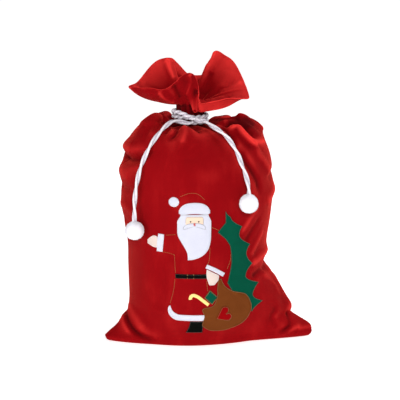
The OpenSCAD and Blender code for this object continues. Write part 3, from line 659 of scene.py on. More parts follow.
def fold_heights(face, normal, folds, surface, middle=None):
    """How far every point of a face is moved along its normal: for each fold, its height times a
    bell of the distance to its line on a surface, faded towards both ends of the line. Where the
    surface has a middle, a fold leaves out what faces the other way from there."""
    total = np.zeros(face.shape[:2])
    flat, flat_n = face.reshape(-1, 3), normal.reshape(-1, 3)
    share = np.linspace(0, 1, 40)
    fade = smooth(0.45 + 5 * np.minimum(share, 1 - share))
    for height, width, line in folds:
        line = np.array(line, float)
        line[:, 0] = np.degrees(np.unwrap(np.radians(line[:, 0])))
        run = open_curve(line, share * (len(line) - 1))
        on = surface(run[:, 0] % 360, np.clip(run[:, 1], 0.005, 1.99))
        gap = np.linalg.norm(flat[:, None] - on[None], axis=-1)
        near = gap.argmin(1)
        raised = height * bell(gap.min(1), 0, width) * fade[near]
        if middle is not None:
            raised = raised * np.clip(np.sum(flat_n * unit(on - middle)[near], -1) + 0.4, 0, 1)
        total += raised.reshape(total.shape)
    return total


def neck_pleats(angle):
    """How deep the gathers of the neck are at an angle, from 0 to 1: fifteen waves all round,
    spaced unevenly by two slower waves."""
    return 0.5 - 0.5 * np.cos(15 * angle + 1.2 * np.sin(2 * angle + 0.6)
                              + 0.9 * np.sin(3 * angle + 2.0))


def room_under(face, normal, line, r):
    """How far each point of a face may move along its normal below a cord or a ball of radius r on
    a line: the height of the line less the radius and a gap, more by the square of the distance
    beside it. Away from the line there is no limit."""
    flat, flat_n = face.reshape(-1, 3), normal.reshape(-1, 3)
    gap = line[None] - flat[:, None]
    near = np.linalg.norm(gap, axis=-1).argmin(1)
    gap = gap[np.arange(len(flat)), near]
    high = np.sum(gap * flat_n, -1)
    beside = np.sqrt(np.maximum(np.sum(gap * gap, -1) - high ** 2, 0))
    room = high - r - cord_gap + beside ** 2 / (2.2 * r)
    return np.where((high > -2) & (beside < 4 * r), room, np.inf).reshape(face.shape[:2])


# Pleats run in from the neck and fade over the shoulders, at an uneven height. The drawn folds fade
# beside the neck, the slight unevenness fades on the shoulders, and all of it fades at the floor.
angle = np.radians(phi)
pleats = neck_pleats(angle)
pleat_deep, neck_pleat_deep, pleat_fade, floor_fade = 6.0, 3.0, 0.35, 14.0
pleat_end = 1.56 + 0.14 * np.sin(5 * angle + 1.0) + 0.08 * np.sin(8 * angle)
pleat_fall = mix(pleat_deep, neck_pleat_deep, smooth((v - 1.85) / 0.14))
gathered = smooth((v - pleat_end) / pleat_fade) * pleat_fall
off_neck = np.hypot(body[..., 0] - neck_x, body[..., 1]) - neck_r
swell = fold_heights(body, body_n, folds, sack_face, body_middle) * smooth((off_neck - 8) / 26)
uneven = crumple(body, waves=24, longest=120.0, shortest=55.0, size=0.7, rng=rng)
swell += uneven * smooth((1.9 - v) / 0.3)
swell -= gathered * pleats
swell *= smooth(body[..., 2] / floor_fade)

# The cloth gives way where the cord and the pompoms press on it
for line, r in ((wound[::3], cord_d / 2), (left_run[::3], cord_d / 2), (right_run[::3], cord_d / 2),
                (pompom_centres[0][None], pompom_r), (pompom_centres[1][None], pompom_r)):
    swell = np.minimum(swell, room_under(body, body_n, line, r))

# What stands out also sags a little
fold_sag = 0.3
downward = np.array([0.0, 0.0, -1.0]) + body_n * body_n[..., 2:3]
dressed = (body + body_n * swell[..., None]
           + fold_sag * downward * np.maximum(swell, 0)[..., None])
dressed[..., 2] = np.maximum(dressed[..., 2], 0)

base_share = np.arange(base_rows)[:, None] / base_rows
base = np.repeat(dressed[:1], base_rows, 0)
base[..., 1] = mix(-corner_pull(base[..., 0], 0), base[..., 1], base_share)
neck_share = np.arange(1, neck_rows + 1)[:, None] / neck_rows
neck_a, neck_pleat = np.radians(around)[None], pleats[:1]
neck_radius = neck_r - neck_pleat_deep * neck_pleat + 0 * neck_share
neck = np.stack([neck_x - neck_radius * np.cos(neck_a), -neck_radius * np.sin(neck_a),
                 neck_z + neck_h * neck_share + 0 * neck_a], -1)
mouth_t = np.arange(1, mouth_rows + 1)[:, None] / mouth_rows
mouth = mouth_face(around[None] + 0 * mouth_t, mouth_t + 0 * around[None])

# The front lip sags in a pipe of cloth that runs out to the right, where its rim curls up again
lip_from, pipe_from, lip_to, lip_rise = 88.0, 64.0, 172.0, 22.0
pipe_deep, pipe_flat, pipe_w, pipe_lean = 33.0, 14.0, 0.19, 0.7
lip_end = smooth((lip_to - around) / 38)
front_lip = smooth((around - lip_from) / 26) * lip_end
pipe = smooth((around - pipe_from) / 18) * lip_end
pipe_t = mix(0.42, 0.78, smooth((around - 80) / 36))
pipe_drop = mix(pipe_deep, pipe_flat, smooth((around - 92) / 24))
sagging = pipe * bell(mouth_t, pipe_t, pipe_w)
mouth[..., 1] -= (pipe_drop - pipe_flat) * pipe_lean * sagging
mouth[..., 2] += front_lip * lip_rise * smooth((mouth_t - 0.8) / 0.2) - pipe_drop * sagging
mouth_n = grid_normals(np.concatenate([neck[-1:], mouth]))[1:]

# Creases of the ruffle from the rim inwards: what sinks on the outside stands up inside
creases = [
    (-5, 5, [(304, 0.97), (305, 0.76), (304, 0.54)]),
    (5, 7, [(297, 0.95), (295, 0.78), (290, 0.62)]),
    (1.5, 9, [(338, 0.88), (333, 0.66), (326, 0.46)]),
    (-4, 8, [(352, 0.90), (350, 0.70), (346, 0.50)]),
    (4, 10, [(226, 0.64), (222, 0.38), (219, 0.15)]),
    (-2, 14, [(208, 0.85), (200, 0.70), (192, 0.60)]),
    (-3, 8, [(187, 0.96), (184, 0.70), (186, 0.40)]),
    (5, 8, [(120, 0.48), (146, 0.46), (164, 0.58)]),
    (5, 8, [(69, 0.98), (72, 0.72), (68, 0.34)]),
    (-5, 7, [(52, 0.96), (54, 0.70), (56, 0.36)]),
    (4, 7, [(34, 0.96), (36, 0.66), (42, 0.36)]),
    (-4, 7, [(92, 0.96), (91, 0.66), (86, 0.36)]),
    (4, 8, [(262, 0.92), (262, 0.60), (260, 0.30)]),
    (-4, 8, [(242, 0.92), (243, 0.60), (244, 0.30)]),
]
ripple = np.sin(17 * neck_a + 2 * np.sin(3 * neck_a)) * (1.2 - front_lip) * mouth_t ** 3
crease = fold_heights(mouth, mouth_n, creases, mouth_face)
run_out = neck_pleat_deep * neck_pleat * (1 - mouth_t) ** 2
mouth = mouth + mouth_n * (ripple + crease - run_out)[..., None]

# The rim has a narrow turned hem, and a shallow groove follows the side seams
outer = np.concatenate([base, dressed, neck, mouth])
outer[:, -1] = outer[:, 0]
outer_n = grid_normals(outer)
first_mouth = len(outer) - mouth_rows
body_rows = slice(base_rows, base_rows + len(body_v))
in_hem = np.zeros(len(outer))
in_hem[first_mouth:] = smooth((mouth_t[:, 0] - hem_share) / 0.02)
seam_run = np.concatenate([np.zeros((len(outer), 1)),
                           np.cumsum(np.linalg.norm(np.diff(outer, axis=1), axis=-1), 1)], 1)
to_seam = np.minimum(np.abs(seam_run - seam_run[:, half:half + 1]),
                     np.minimum(seam_run, seam_run[:, -1:] - seam_run))
groove = groove_deep * bell(to_seam, 0, groove_w) * (outer[..., 2] > 3)
outer = outer + outer_n * (hem_proud * in_hem[:, None] - groove)[..., None]
inner = outer - outer_n * (cloth_t + (hem_t - cloth_t) * in_hem)[:, None, None]
base_end = base_rows + 6
inner[:base_end, :, 2] = np.maximum(inner[:base_end, :, 2], cloth_t)


def smoothed(grid, rounds):
    """A grid that closes around its columns, in some rounds of setting every point to the mean of
    its four neighbours."""
    for _ in range(rounds):
        wrapped = np.concatenate([grid[:, -2:-1], grid, grid[:, 1:2]], 1)
        tall = np.concatenate([grid[:1], grid, grid[-1:]])
        grid = (wrapped[:, 2:] + wrapped[:, :-2] + tall[2:] + tall[:-2]) / 4
    return grid


# Painted light and shade on the velvet: the crests of the folds are painted pale as a highlight
# and the hollows dark as shade. A crest is what stands out of the averaged cloth, less what the
# plain sack has there by itself. The painted light is weaker on the flanks that turn away from
# the front.
crest_rounds, crest_soft, left_calm, right_calm = 28, 4.5, 0.75, 0.45
inside_level, inside_rise = 1.07, 0.6
still = np.concatenate([base, body, neck, mouth])
on_body = smooth((len(base) + len(body_v) - 8 - np.arange(len(outer))) / 16)[:, None]
plain = on_body[..., None] * (still - smoothed(still, crest_rounds))
painted_fold_light = np.sum((outer - smoothed(outer, crest_rounds) - plain) * outer_n, -1)
turned_away = (left_calm * smooth((-60 - outer[..., 0]) / 60)
               + right_calm * smooth((outer[..., 0] - 70) / 50)) * smooth((outer[..., 2] - 60) / 60)
painted_fold_light = painted_fold_light * smooth(outer[..., 2] / 30) * (1 - on_body * turned_away)
painted_fold_light = 0.5 + 0.5 * np.tanh(painted_fold_light * np.sqrt(np.abs(painted_fold_light)) / crest_soft)
# Inside the ruffle the painted light is reversed, as a hollow outside is a crest inside, with
# painted shade deep in the mouth and paler paint towards the rim
up_mouth = np.clip((np.arange(len(outer)) - first_mouth) / mouth_rows, 0, 1)[:, None]
inside_painted_light = inside_level - painted_fold_light + inside_rise * (up_mouth - 0.55)

# Painted shade beside the right shoulder's ridge, painted highlights along it, on a ledge next
# to it, on the front lip and on the sagging pipe, and painted shade where the cloth is tucked in
# under the tie and, faintly, over the outside of the ruffle
painted_ridge_light = [
    (-0.65, 20, [(140, 1.90), (157, 1.80), (161, 1.62)]),
    (0.36, 6, [(129, 1.76), (136, 1.73), (135, 1.60), (137, 1.48), (141, 1.40)]),
    (0.20, 13, [(144, 1.45), (152, 1.42), (162, 1.40)])]
tuck_shade, mouth_shade, lip_light, pipe_light = 0.35, 0.08, 0.3, 0.25
painted_fold_light[body_rows] += fold_heights(body, body_n, painted_ridge_light, sack_face, body_middle)
to_neck = np.hypot(outer[..., 0] - neck_x, outer[..., 1]) - neck_r
tucked = 1 - smooth((to_neck - 4) / 30)
painted_fold_light = painted_fold_light - tuck_shade * tucked * (up_mouth < 0.01) - mouth_shade * (up_mouth > 0)
painted_fold_light = painted_fold_light + lip_light * front_lip * smooth((up_mouth - 0.5) / 0.3)
painted_fold_light[first_mouth:] += pipe_light * sagging * (1 - front_lip)


def closed_sheet(name, outer, inner, finish, shade=None):
    """A closed sheet between an outer and an inner grid of points, with a rounded last edge. A
    painted light and shade of the outer and of the inner points becomes the first coordinate of the
    UV map, and the rounded edge is painted a fixed pale highlight."""
    rows, cols = outer.shape[:2]
    edge = mix(outer[-1], inner[-1], 0.5) + 0.5 * np.linalg.norm(
        outer[-1] - inner[-1], axis=-1, keepdims=True) * unit(outer[-1] - outer[-2])
    count = rows * cols
    points = np.concatenate([outer.reshape(-1, 3), inner.reshape(-1, 3), edge])
    k, i = np.meshgrid(np.arange(rows - 1), np.arange(cols - 1), indexing="ij")
    a = (k * cols + i).ravel()
    quads = np.stack([a, a + 1, a + cols + 1, a + cols], -1)
    low, left = np.arange(cols - 1), np.arange(rows - 1) * cols
    top, right = (rows - 1) * cols + low, left + cols - 1
    turned = 2 * count + low
    strips = [np.stack([low + 1, low, low + count, low + count + 1], -1),
              np.stack([top, top + 1, turned + 1, turned], -1),
              np.stack([turned, turned + 1, top + count + 1, top + count], -1),
              np.stack([left, left + cols, left + cols + count, left + count], -1),
              np.stack([right + cols, right, right + count, right + cols + count], -1)]
    ends = np.array([[top[0], 2 * count, top[0] + count],
                     [top[-1] + 1 + count, 2 * count + cols - 1, top[-1] + 1]])
    faces = [quads, quads[:, ::-1] + count, *strips, ends]
    if shade is None:
        return make_piece(name, points, faces, finish)
    # The rounded edge gets a fixed pale value: a painted highlight along the rim
    values = np.concatenate([shade[0].ravel(), shade[1].ravel(), 0 * shade[0][-1] + 0.9])
    corners = np.concatenate([f.ravel() for f in faces])
    return make_piece(name, points, faces, finish, np.stack([values[corners], 0 * corners], -1))


# The velvet's colour runs from a painted shade in the hollows through the plain red to a painted
# highlight on the crests, after the painted light in the first UV coordinate. Stretched noise,
# patches and fine pile add the nap's own uneven tone.
velvet_painted_shade, velvet_red = (0.070, 0.0006, 0.0016, 1.0), (0.215, 0.0012, 0.003, 1.0)
velvet_painted_highlight = (0.66, 0.028, 0.025, 1.0)
velvet_wire, velvet_link = material("red_velvet", {
    "Sheen Weight": 0.55, "Sheen Roughness": 0.35, "Sheen Tint": (1.0, 0.06, 0.04, 1.0),
    "Specular IOR Level": 0.03})
place = velvet_wire.place()
brushed = velvet_wire.noise(velvet_wire.stretched(place, (34.0, 34.0, 11.0)), 1.0, 4.0, 0.6)
patches = velvet_wire.noise(place, 16.0, 3.0)
pile = velvet_wire.noise(place, 1400.0, 2.0)
painted_light_wire, _ = velvet_wire.uv()
nap_and_painted_light = painted_light_wire + (brushed - 0.5) * 0.16 + (patches - 0.5) * 0.12 + (pile - 0.5) * 0.15
painted_shade_red = (nap_and_painted_light * 2.0).tint(velvet_painted_shade, velvet_red)
velvet = velvet_link((nap_and_painted_light * 2.0 - 1.0).tint(painted_shade_red, velvet_painted_highlight), 0.72 + brushed * 0.2,
                     pile + brushed * 0.6, 0.0005)

for name, node, part in (("front_cloth", "front_panel", slice(0, half + 1)),
                         ("back_cloth", "back_panel", slice(half, columns + 1))):
    panel = closed_sheet(name, outer[:, part], inner[:, part], velvet,
                         (painted_fold_light[:, part], inside_painted_light[:, part]))
    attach(panel, "sack")
    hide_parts(node)


# Felt figure
# A festive figure of 1.5 mm felt in flat cut pieces, each glued and stitched on the front of the
# sack: white trim and beard, cream mittens, black belt and boot, a green tree and gift, a brown
# toy bag.

felt_t, felt_gap, glue_t = 1.5, 0.1, 0.2
edge_soft, lap_soft, crown_soft = 1.4, 4.0, 9.0
figure_x, belt_z, head_w, band_w = -46.0, 170.0, 66.0, 10.0
front, front_n = outer[body_rows, :half + 1], outer_n[body_rows, :half + 1]


def sample(grid, row, col):
    """Value of a grid between its rows and columns, in proportion to the four points around."""
    r0 = np.clip(np.floor(row).astype(int), 0, grid.shape[0] - 2)
    c0 = np.clip(np.floor(col).astype(int), 0, grid.shape[1] - 2)
    r, c = (row - r0)[..., None], (col - c0)[..., None]
    return ((grid[r0, c0] * (1 - c) + grid[r0, c0 + 1] * c) * (1 - r)
            + (grid[r0 + 1, c0] * (1 - c) + grid[r0 + 1, c0 + 1] * c) * r)


def turned_area(a, b):
    """Area that two flat vectors span, positive where the second is to the left of the first."""
    return a[..., 0] * b[..., 1] - a[..., 1] * b[..., 0]


def on_front(flat):
    """Points and normals of the front cloth at places given by x and z. Newton's steps on the
    cloth's rows and columns close in on each place."""
    rounds, reach, least, longest = 14, 0.4, 0.05, 4
    row = np.interp(flat[..., 1] / shoulder_z, body_v, np.arange(len(body_v)))
    col = np.degrees(np.arccos(np.clip(-(flat[..., 0] - body_x) / (waist_w / 2), -0.98, 0.98)))
    for _ in range(rounds):
        off = flat - sample(front, row, col)[..., ::2]
        by_row = sample(front, row + reach, col) - sample(front, row - reach, col)
        by_col = sample(front, row, col + reach) - sample(front, row, col - reach)
        by_row, by_col = by_row[..., ::2] / (2 * reach), by_col[..., ::2] / (2 * reach)
        whole = turned_area(by_row, by_col)
        whole = np.where(np.abs(whole) < least, least * np.where(whole < 0, -1, 1), whole)
        row = row + np.clip(turned_area(off, by_col) / whole, -longest, longest)
        col = col + np.clip(turned_area(by_row, off) / whole, -longest, longest)
        row, col = np.clip(row, 1, len(front) - 2), np.clip(col, 1, half - 1)
    return sample(front, row, col), unit(sample(front_n, row, col))


def depth_inside(flat, outline):
    """Distance of each place to a closed outline, positive inside it and negative outside."""
    x, z = flat[..., 0, None], flat[..., 1, None]
    (x1, z1), (x2, z2) = outline.T, np.roll(outline, -1, 0).T
    crossing = (x2 - x1) * (z - z1) / np.where(z1 == z2, 1, z2 - z1) + x1
    crossed = ((z1 > z) != (z2 > z)) & (x < crossing)
    along = np.clip(((x - x1) * (x2 - x1) + (z - z1) * (z2 - z1))
                    / np.maximum((x2 - x1) ** 2 + (z2 - z1) ** 2, 1e-9), 0, 1)
    gap = np.hypot(x - x1 - along * (x2 - x1), z - z1 - along * (z2 - z1)).min(-1)
    return np.where(crossed.sum(-1) % 2 == 1, gap, -gap)


# Outlines of the felt by name, in the order in which the pieces are laid
laid = {}


def laid_top(flat, soft):
    """How high the felt already laid stands at each place: one thickness and a gap for each piece
    below it, with a step of some softness at the piece's edge."""
    return sum((felt_t + felt_gap) * smooth(0.5 + depth_inside(flat, outline) / soft)
               for outline in laid.values())


def felt(name, edges, finish, crown=0.0, steps=16):
    """A flat felt piece between two rails of x and z places. It lies on the cloth and on the felt
    below it, thins a little along its cut edge, and a crown pads it towards its middle."""
    made_of, slot = finish
    across = (0.5 - 0.5 * np.cos(np.linspace(0, np.pi, steps + 1)))[None, :, None]
    flat = edges[0][:, None] * (1 - across) + edges[1][:, None] * across
    if np.sum(turned_area(np.gradient(flat, axis=1), np.gradient(flat, axis=0))) < 0:
        flat = flat[:, ::-1]
    outline = np.concatenate([flat[0, :-1], flat[:-1, -1], flat[-1, :0:-1], flat[:0:-1, 0]])
    inside = np.maximum(depth_inside(flat, outline), 0)
    place, normal = on_front(flat)
    under = glue_t + 0 * flat[..., 0] + laid_top(flat, lap_soft)
    thick = felt_t * (0.5 + 0.5 * smooth(inside / edge_soft)) + crown * smooth(inside / crown_soft)
    made = closed_sheet(f"{name}_felt", place + normal * (under + thick)[..., None],
                        place + normal * under[..., None], made_of)
    x, z = outline.T
    area = abs(np.sum(turned_area(outline, np.roll(outline, -1, 0)))) / 2e6
    turn = np.radians(np.arange(0, 90, 5))[:, None]
    sides = np.stack([np.ptp(x * np.cos(turn) + z * np.sin(turn), axis=1),
                      np.ptp(z * np.cos(turn) - x * np.sin(turn), axis=1)], -1)
    cut = sides[sides.prod(-1).argmin()] / 1000
    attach(made, "sack")
    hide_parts(name)
    laid[name] = outline


def felt_finish(name, slot, low, high):
    """Felt: matted fibres that show as fine specks, paler and darker clouds and a short nap. Gives
    the material and its slot."""
    wire, link = material(name, {"Specular IOR Level": 0.02})
    place = wire.place()
    fibres = wire.noise(wire.stretched(place, (1.0, 1.0, 0.55)), 900.0, 4.0, 0.7)
    clouds = wire.noise(place, 45.0, 2.0)
    colour = (fibres * 0.65 + clouds * 0.35).tint((*low, 1.0), (*high, 1.0))
    return link(colour, fibres * 0.15 + 0.8, fibres, 0.0006), slot


white_felt = felt_finish("white_felt", "white_felt", (0.42, 0.43, 0.51), (0.63, 0.63, 0.72))
cream_felt = felt_finish("cream_felt", "skin_felt", (0.49, 0.39, 0.35), (0.67, 0.56, 0.51))
skin_felt = felt_finish("skin_felt", "skin_felt", (0.62, 0.42, 0.30), (0.86, 0.66, 0.52))
black_felt = felt_finish("black_felt", "black_felt", (0.0005, 0.001, 0.001), (0.004, 0.005, 0.004))
yellow_felt = felt_finish("yellow_felt", "yellow_felt", (0.76, 0.46, 0.11), (0.97, 0.76, 0.32))
green_felt = felt_finish("green_felt", "green_felt", (0.0005, 0.038, 0.020), (0.002, 0.084, 0.047))
brown_felt = felt_finish("brown_felt", "brown_felt", (0.084, 0.020, 0.0034), (0.165, 0.045, 0.010))
red_felt = felt_finish("red_felt", "red_felt", (0.16, 0.0006, 0.002), (0.27, 0.0015, 0.003))


def sideways(line):
    """The direction to the left of a flat line at each of its points."""
    way = unit(np.gradient(line, axis=0))
    return np.stack([-way[:, 1], way[:, 0]], -1)


def band(points, width, point=0.0):
    """Two rails at half the width on both sides of the smooth line through some points, which run
    together over the length of a point at its start."""
    line, at = even_line(np.array(points, float), 1.5)
    side = sideways(line) * width / 2
    if point:
        side = side * (0.1 + 0.9 * np.minimum(at / point, 1) ** 0.7)[:, None]
    return line - side, line + side


def rails(left_x, left_z, right_x, right_z):
    """Two rails from the x and z of their points."""
    return (np.stack(np.broadcast_arrays(left_x, left_z), -1),
            np.stack(np.broadcast_arrays(right_x, right_z), -1))


def arc_points(centre, r, start, end, count):
    """Points on a circle between two angles in degrees."""
    a = np.radians(np.linspace(start, end, count))
    return np.stack([centre[0] + r * np.cos(a), centre[1] + r * np.sin(a)], -1)


def spread_rails(rows, start, size, bent):
    """Two rails through rows of places, given as shares of a size from a start. The stretches
    between the rows are smoothly bent, or straight on the left and hollow between the tips on the
    right."""
    rows = np.array(rows, float)
    at = np.linspace(0, len(rows) - 1, 8 * (len(rows) - 1) + 1)
    if bent:
        fine = open_curve(rows, at)
    else:
        k = np.minimum(at.astype(int), len(rows) - 2)
        t = (at - k)[:, None] * np.ones(4)
        step = rows[k + 1] - rows[k]
        t[:, 2] = np.where(step[:, 2] > 0, t[:, 2] ** 1.8, 1 - (1 - t[:, 2]) ** 1.8)
        fine = rows[k] + step * t
    return start + size * fine[:, :2], start + size * fine[:, 2:]


# Shares along a piece, from one end to the other and from its middle to both ends
s = np.linspace(0, 1, 57)
u = np.linspace(-1, 1, 57)

# The head: hat bobble, beard, hat brim, face and moustache
bobble_at, bobble_r = np.array([-89.0, 334.0]), 10.5
bobble_x, bobble_z = bobble_r * np.sqrt(np.maximum(0.03, 1 - u ** 2)), bobble_at[1] + bobble_r * u
felt("hat_bobble", rails(bobble_at[0] - bobble_x, bobble_z, bobble_at[0] + bobble_x, bobble_z),
     white_felt, crown=1.5)
brim_z, brim_half, brim_low, brim_high, brim_rise = 312.0, 33.0, 9.0, 15.0, 6.0
beard_h, beard_top = 100.0, brim_z - 5
drop = 1 - (1 - s) ** 1.4
temple, chin = smooth(drop / 0.16), 1 - smooth((drop - 0.38) / 0.54)
beard_left = head_w * (0.22 + (0.22 + 0.11 * temple) * chin)
beard_right = head_w * ((0.64 + 0.09 * temple) * np.maximum(0, 1 - drop ** 6) ** 0.6 - 0.19)
beard_z = beard_top - beard_h * drop
felt("beard", rails(figure_x - beard_left, beard_z, figure_x + beard_right, beard_z),
     white_felt, crown=0.8)
brim, brim_arch = np.sqrt(np.maximum(0.08, 1 - u ** 4)), brim_rise * (1 - u ** 2)
brim_x = figure_x + brim_half * u
felt("hat_brim", rails(brim_x, brim_z - brim_low * brim + brim_arch,
                       brim_x, brim_z + brim_high * brim + brim_arch), white_felt, crown=1.2)
face_z, face_half = 301.0, 19 * np.sqrt(1 - 0.3 * u ** 4)
cheek_z = face_z - 8.5 + 10 * u
felt("face", rails(figure_x - face_half, cheek_z, figure_x + face_half, cheek_z), skin_felt)
lobe = np.sqrt(np.maximum(0, 1 - u ** 2))
upper_lip, whisker_x = face_z - 17 - 6 * u ** 2, figure_x + 24 * u
felt("moustache", rails(whisker_x, upper_lip - 3 - 5 * np.abs(u) * lobe,
                        whisker_x, upper_lip + 1 + lobe * (4.2 + 2.8 * np.abs(u))),
     white_felt, crown=0.8)

# The raised arm's mitten and cuff, then belt, coat hem and boot
wave_at = np.array([-126.0, 242.0])
mitten_x, mitten_s = wave_at[0] + mix(-16, 10, s), np.minimum(1, 1.15 * s)
felt("left_mitten", rails(mitten_x, wave_at[1] - 4 - 8 * np.sin(np.radians(110 * mitten_s)),
                          mitten_x, wave_at[1] + 4 + 11 * np.sin(np.radians(150 * mitten_s))),
     cream_felt, crown=0.6)
felt("left_cuff", band([wave_at + (11, 20), wave_at + (9.5, 0), wave_at + (8, -20)], band_w + 2),
     white_felt, crown=0.6)
felt("belt", band([(figure_x + x, belt_z) for x in (-40, -7, 26)], band_w), black_felt)
hem_z, hem_w, hem_bend, hem_point = 76.0, 14.0, 21.0, 26.0
hem_turn = np.array([figure_x - 31, hem_z + hem_bend])
felt("coat_hem", band(np.vstack([arc_points(hem_turn, hem_bend, 165, 262, 8),
                                 [(x, hem_z) for x in (-70, -45, -21)]]), hem_w, hem_point),
     white_felt, crown=0.8)
boot_z = hem_z - hem_w / 2 - 2 - 30 * s
felt("boot", rails(-55 - 7 * s ** 2, boot_z, -26, boot_z), black_felt)

# The tree behind, the gift and the candy cane that look out of the toy bag, and the bag's patch
tree_top, tree_h = np.array([24.0, 313.0]), 224.0
tree_rows = [
    (-0.012, -0.01, -0.006, -0.01), (-0.010, -0.115, 0.040, -0.065),
    (-0.090, -0.208, 0.160, -0.170), (-0.010, -0.280, 0.130, -0.250),
    (0.036, -0.350, 0.250, -0.365), (0.048, -0.430, 0.210, -0.450),
    (0.052, -0.520, 0.278, -0.565), (0.038, -0.610, 0.204, -0.680),
    (0.010, -0.720, 0.350, -0.770), (0.071, -0.825, 0.278, -0.875),
    (0.195, -0.940, 0.388, -0.955), (0.255, -1.03, 0.272, -1.04)]
felt("fir_tree", spread_rails(tree_rows, tree_top, tree_h, False), green_felt)
gift_at, gift_across, gift_up = np.array([[-25.0, 122.0], [17.0, -16.0], [12.0, 17.0]])
gift_side = gift_at + s[:, None] * gift_up
felt("gift_box", (gift_side, gift_at + gift_across + s[:, None] * gift_up), green_felt)
cane_at, cane_bend, cane_w = np.array([-48.0, 121.0]), 7.0, 7.0
felt("candy_cane", band(np.vstack([arc_points(cane_at, cane_bend, 200, 50, 10), [
    cane_at + (9, 3.5), cane_at + (20, -5), cane_at + (32, -15)]]), cane_w), yellow_felt, crown=0.6)
toy_at, toy_bag_r = np.array([27.0, 85.0]), 50.0
bag_rows = [
    (-0.46, 1.56, -0.30, 1.56), (-0.46, 1.30, -0.18, 1.30), (-0.48, 1.06, -0.02, 1.12),
    (-0.48, 0.82, 0.28, 0.94), (-0.66, 0.38, 0.80, 0.76), (-1.12, 0.24, 1.04, 0.40),
    (-1.04, -0.10, 1.10, 0.10), (-1.10, -0.38, 1.02, -0.22), (-1.08, -0.60, 0.82, -0.52),
    (-0.78, -0.84, 0.52, -0.72), (-0.46, -0.90, -0.06, -0.90)]
felt("toy_bag", spread_rails(bag_rows, toy_at, toy_bag_r, True), brown_felt, steps=24)
heart_at, heart_size, heart_turn = toy_at + [-8.0, -3.0], 17.0, np.radians(-65.0)
heart_way = np.array([np.cos(heart_turn), np.sin(heart_turn)])
heart_up = np.array([-np.sin(heart_turn), np.cos(heart_turn)])
heart_top = 0.55 * np.sqrt(np.maximum(0, 1 - (2 * np.abs(u) - 1) ** 2)) + 0.25
heart_low = 0.15 - 1.25 * (1 - np.abs(u)) ** 0.9
felt("heart_patch", [heart_at + heart_size * (u[:, None] * heart_way + edge[:, None] * heart_up)
                     for edge in (heart_low, heart_top)], red_felt)

# The mitten that grips the bag's neck, and its cuff
grip_at = np.array([-7.0, 166.0])
fist = 3 * np.sin(np.pi * s)
felt("right_mitten", rails(grip_at[0] + mix(-13, -7, s) - fist, grip_at[1] + mix(20, -16, s),
                           grip_at[0] + mix(14, 4, s) + fist, grip_at[1] + mix(5, -16, s)),
     cream_felt, crown=0.6)
felt("right_cuff", band([grip_at + (-14, 27), grip_at + (6, 17), grip_at + (25, 5)], band_w - 1),
     white_felt, crown=0.6)

# Stitching
# Running stitches of thread hold the edges of the felt and draw the coat, the arms and the hat on
# the velvet. Each stitch comes up through the cloth, lies flat and goes down again.

stitch_pitch, stitch_share, stitch_sides = 3.6, 0.82, 6
stitch_at = np.array([0.0, 0.2, 0.5, 0.8, 1.0])
stitch_rise = np.array([-1.2, 0.5, 0.9, 0.5, -1.2])
stitch_step = 1.2


def stitches(name, lines, finish, r, pitch=stitch_pitch):
    """Short round threads along lines of x and z places, each given with the number of felt pieces
    under it: five rings each, the outer ones sunk into the felt or cloth, with closed ends. What
    lies under a later piece of felt is left out."""
    made_of, slot = finish
    sewn_at = []
    for line, below in lines:
        place, at = even_line(line, 0.5)
        count = max(1, int(at[-1] / pitch))
        start = np.linspace(0, at[-1] - pitch * stitch_share, count)
        along = start[:, None] + pitch * stitch_share * stitch_at
        flat = np.stack([np.interp(along, at, one) for one in place.T], -1)
        for outline in list(laid.values())[below:]:
            flat = flat[(depth_inside(flat, outline) < -0.6).all(-1)]
        sewn_at.append(flat)
    flat = np.concatenate(sewn_at)
    on, normal = on_front(flat)
    spine = on + normal * (laid_top(flat, stitch_step) + r * stitch_rise)[..., None]
    way = unit(np.gradient(spine, axis=1))
    side = unit(np.cross(way, normal))
    over = np.cross(side, way)
    a = np.arange(stitch_sides) * 2 * np.pi / stitch_sides
    rings = spine[:, :, None] + r * (np.cos(a)[:, None] * side[:, :, None]
                                     + np.sin(a)[:, None] * over[:, :, None])
    per, corner = len(stitch_at) * stitch_sides, np.arange(stitch_sides)
    first = np.arange(len(flat))[:, None] * per
    quads = (first[..., None] + tube_quads(len(stitch_at), stitch_sides)[2]).reshape(-1, 4)
    ends = np.vstack([first + corner, first + per - 1 - corner])
    made = make_piece(name, rings.reshape(-1, 3), [quads, ends], made_of)
    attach(made, "sack")


def inset(name, by):
    """The line that runs inside the outline of a felt piece at a distance, and the number of felt
    pieces laid up to that one."""
    outline = laid[name]
    line, _ = even_line(np.vstack([outline, outline[:1]]), 1.2)
    turn = np.sum(turned_area(outline, np.roll(outline, -1, 0)))
    return line + np.sign(turn) * by * sideways(line), 1 + list(laid).index(name)


def drawn(points):
    """A line of thread on the cloth, under all the felt."""
    return np.array(points, float), 0


def sewn(points):
    """A line of thread on top of all the felt."""
    return np.array(points, float), len(laid)


def thread_finish(name, slot, low, high):
    """Sewing thread: a plied strand with fine light and dark marks and a slight gloss. Gives the
    material and its slot."""
    wire, link = material(name, {"Sheen Weight": 0.1})
    marks = wire.noise(wire.place(), 1800.0, 2.0)
    return link(marks.tint((*low, 1.0), (*high, 1.0)), marks * 0.2 + 0.45, marks, 0.0002), slot


gold_thread = thread_finish("gold_thread", "yellow_felt", (0.16, 0.06, 0.010), (0.34, 0.17, 0.03))
tan_thread = thread_finish("tan_thread", "brown_felt", (0.14, 0.055, 0.012), (0.26, 0.12, 0.03))
green_thread = thread_finish("green_thread", "green_felt", (0.002, 0.040, 0.022),
                             (0.012, 0.090, 0.050))
pale_thread = thread_finish("pale_thread", "white_felt", (0.55, 0.54, 0.55), (0.75, 0.74, 0.74))
grey_thread = thread_finish("grey_thread", "white_felt", (0.24, 0.24, 0.22), (0.40, 0.40, 0.36))
dark_thread = thread_finish("dark_thread", "black_felt", (0.006, 0.006, 0.006),
                            (0.030, 0.024, 0.020))
rose_thread = thread_finish("rose_thread", "red_felt", (0.36, 0.03, 0.03), (0.56, 0.08, 0.07))

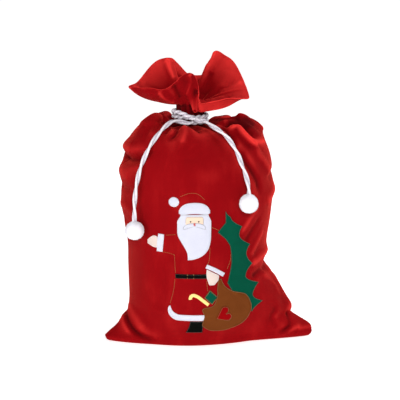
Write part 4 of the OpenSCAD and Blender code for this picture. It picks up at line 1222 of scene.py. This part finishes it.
# Lines of the sleeves, the coat and the hat as x and z places
coat = [
    [(-113, 259), (-98, 261), (-82, 263)],
    [(-115, 222), (-100, 220), (-88, 217)],
    [(-88, 217), (-87, 195), (-86, 177)],
    [(-87, 163), (-90, 138), (-97, 108)],
    [(-13, 280), (4, 272), (18, 262), (30, 248), (34, 217), (33, 202), (26, 184)],
    [(-14, 245), (-13, 225), (-15, 205), (-20, 194)],
    [(-25, 340), (-40, 352), (-58, 353), (-76, 346)],
    [(-20, 160), (-18, 140), (-16, 125)],
]
trims = ("hat_bobble", "beard", "hat_brim", "left_mitten", "left_cuff", "coat_hem", "right_mitten",
         "right_cuff")
buckle = [sewn([(x, belt_z - 5), (x, belt_z), (x, belt_z + 5)]) for x in (-61, -48)]
stitches("coat_thread", [drawn(line) for line in coat], gold_thread, r=0.4)
stitches("gift_thread", [inset("gift_box", by=1.0)], gold_thread, r=0.5)
stitches("belt_thread", buckle, gold_thread, r=0.55)
stitches("tree_thread", [inset("fir_tree", by=0.8)], green_thread, r=0.4)
stitches("bag_thread", [inset("toy_bag", by=0.8), inset("heart_patch", by=0.8)], tan_thread, r=0.4)
stitches("trim_thread", [inset(name, by=1.0) for name in trims], pale_thread, r=0.42)
stitches("face_thread", [inset("face", by=0.7), inset("moustache", by=0.8)], grey_thread, r=0.4)
stitches("dark_edge_thread", [inset("belt", by=1.0), inset("boot", by=1.0)], dark_thread, r=0.42)

# Eyes, nose and mouth are close rows of short stitches
eye_x, eye_z, nose_z, mouth_line = 8.5, 292.5, 286.5, 272.2
eye_rows = [sewn([(centre + x, eye_z - h), (centre + x, eye_z + h)])
            for centre in (figure_x - eye_x, figure_x + eye_x)
            for x, h in ((-1.2, 1.2), (-0.4, 2.0), (0.4, 2.0), (1.2, 1.2))]
mouth_row = sewn([(figure_x + x, mouth_line + z) for x, z in ((-4, 1), (0, 0), (4, 1))])
stitches("eye_thread", eye_rows + [mouth_row], dark_thread, r=0.5, pitch=4.2)
nose_rows = [sewn([(figure_x - h, nose_z + z), (figure_x + h, nose_z + z)]) for z, h in (
    (-2.4, 1.6), (-1.6, 2.4), (-0.8, 2.8), (0, 2.8), (0.8, 2.6), (1.6, 2.2), (2.4, 1.4))]
stitches("nose_thread", nose_rows, rose_thread, r=0.6, pitch=5.6)
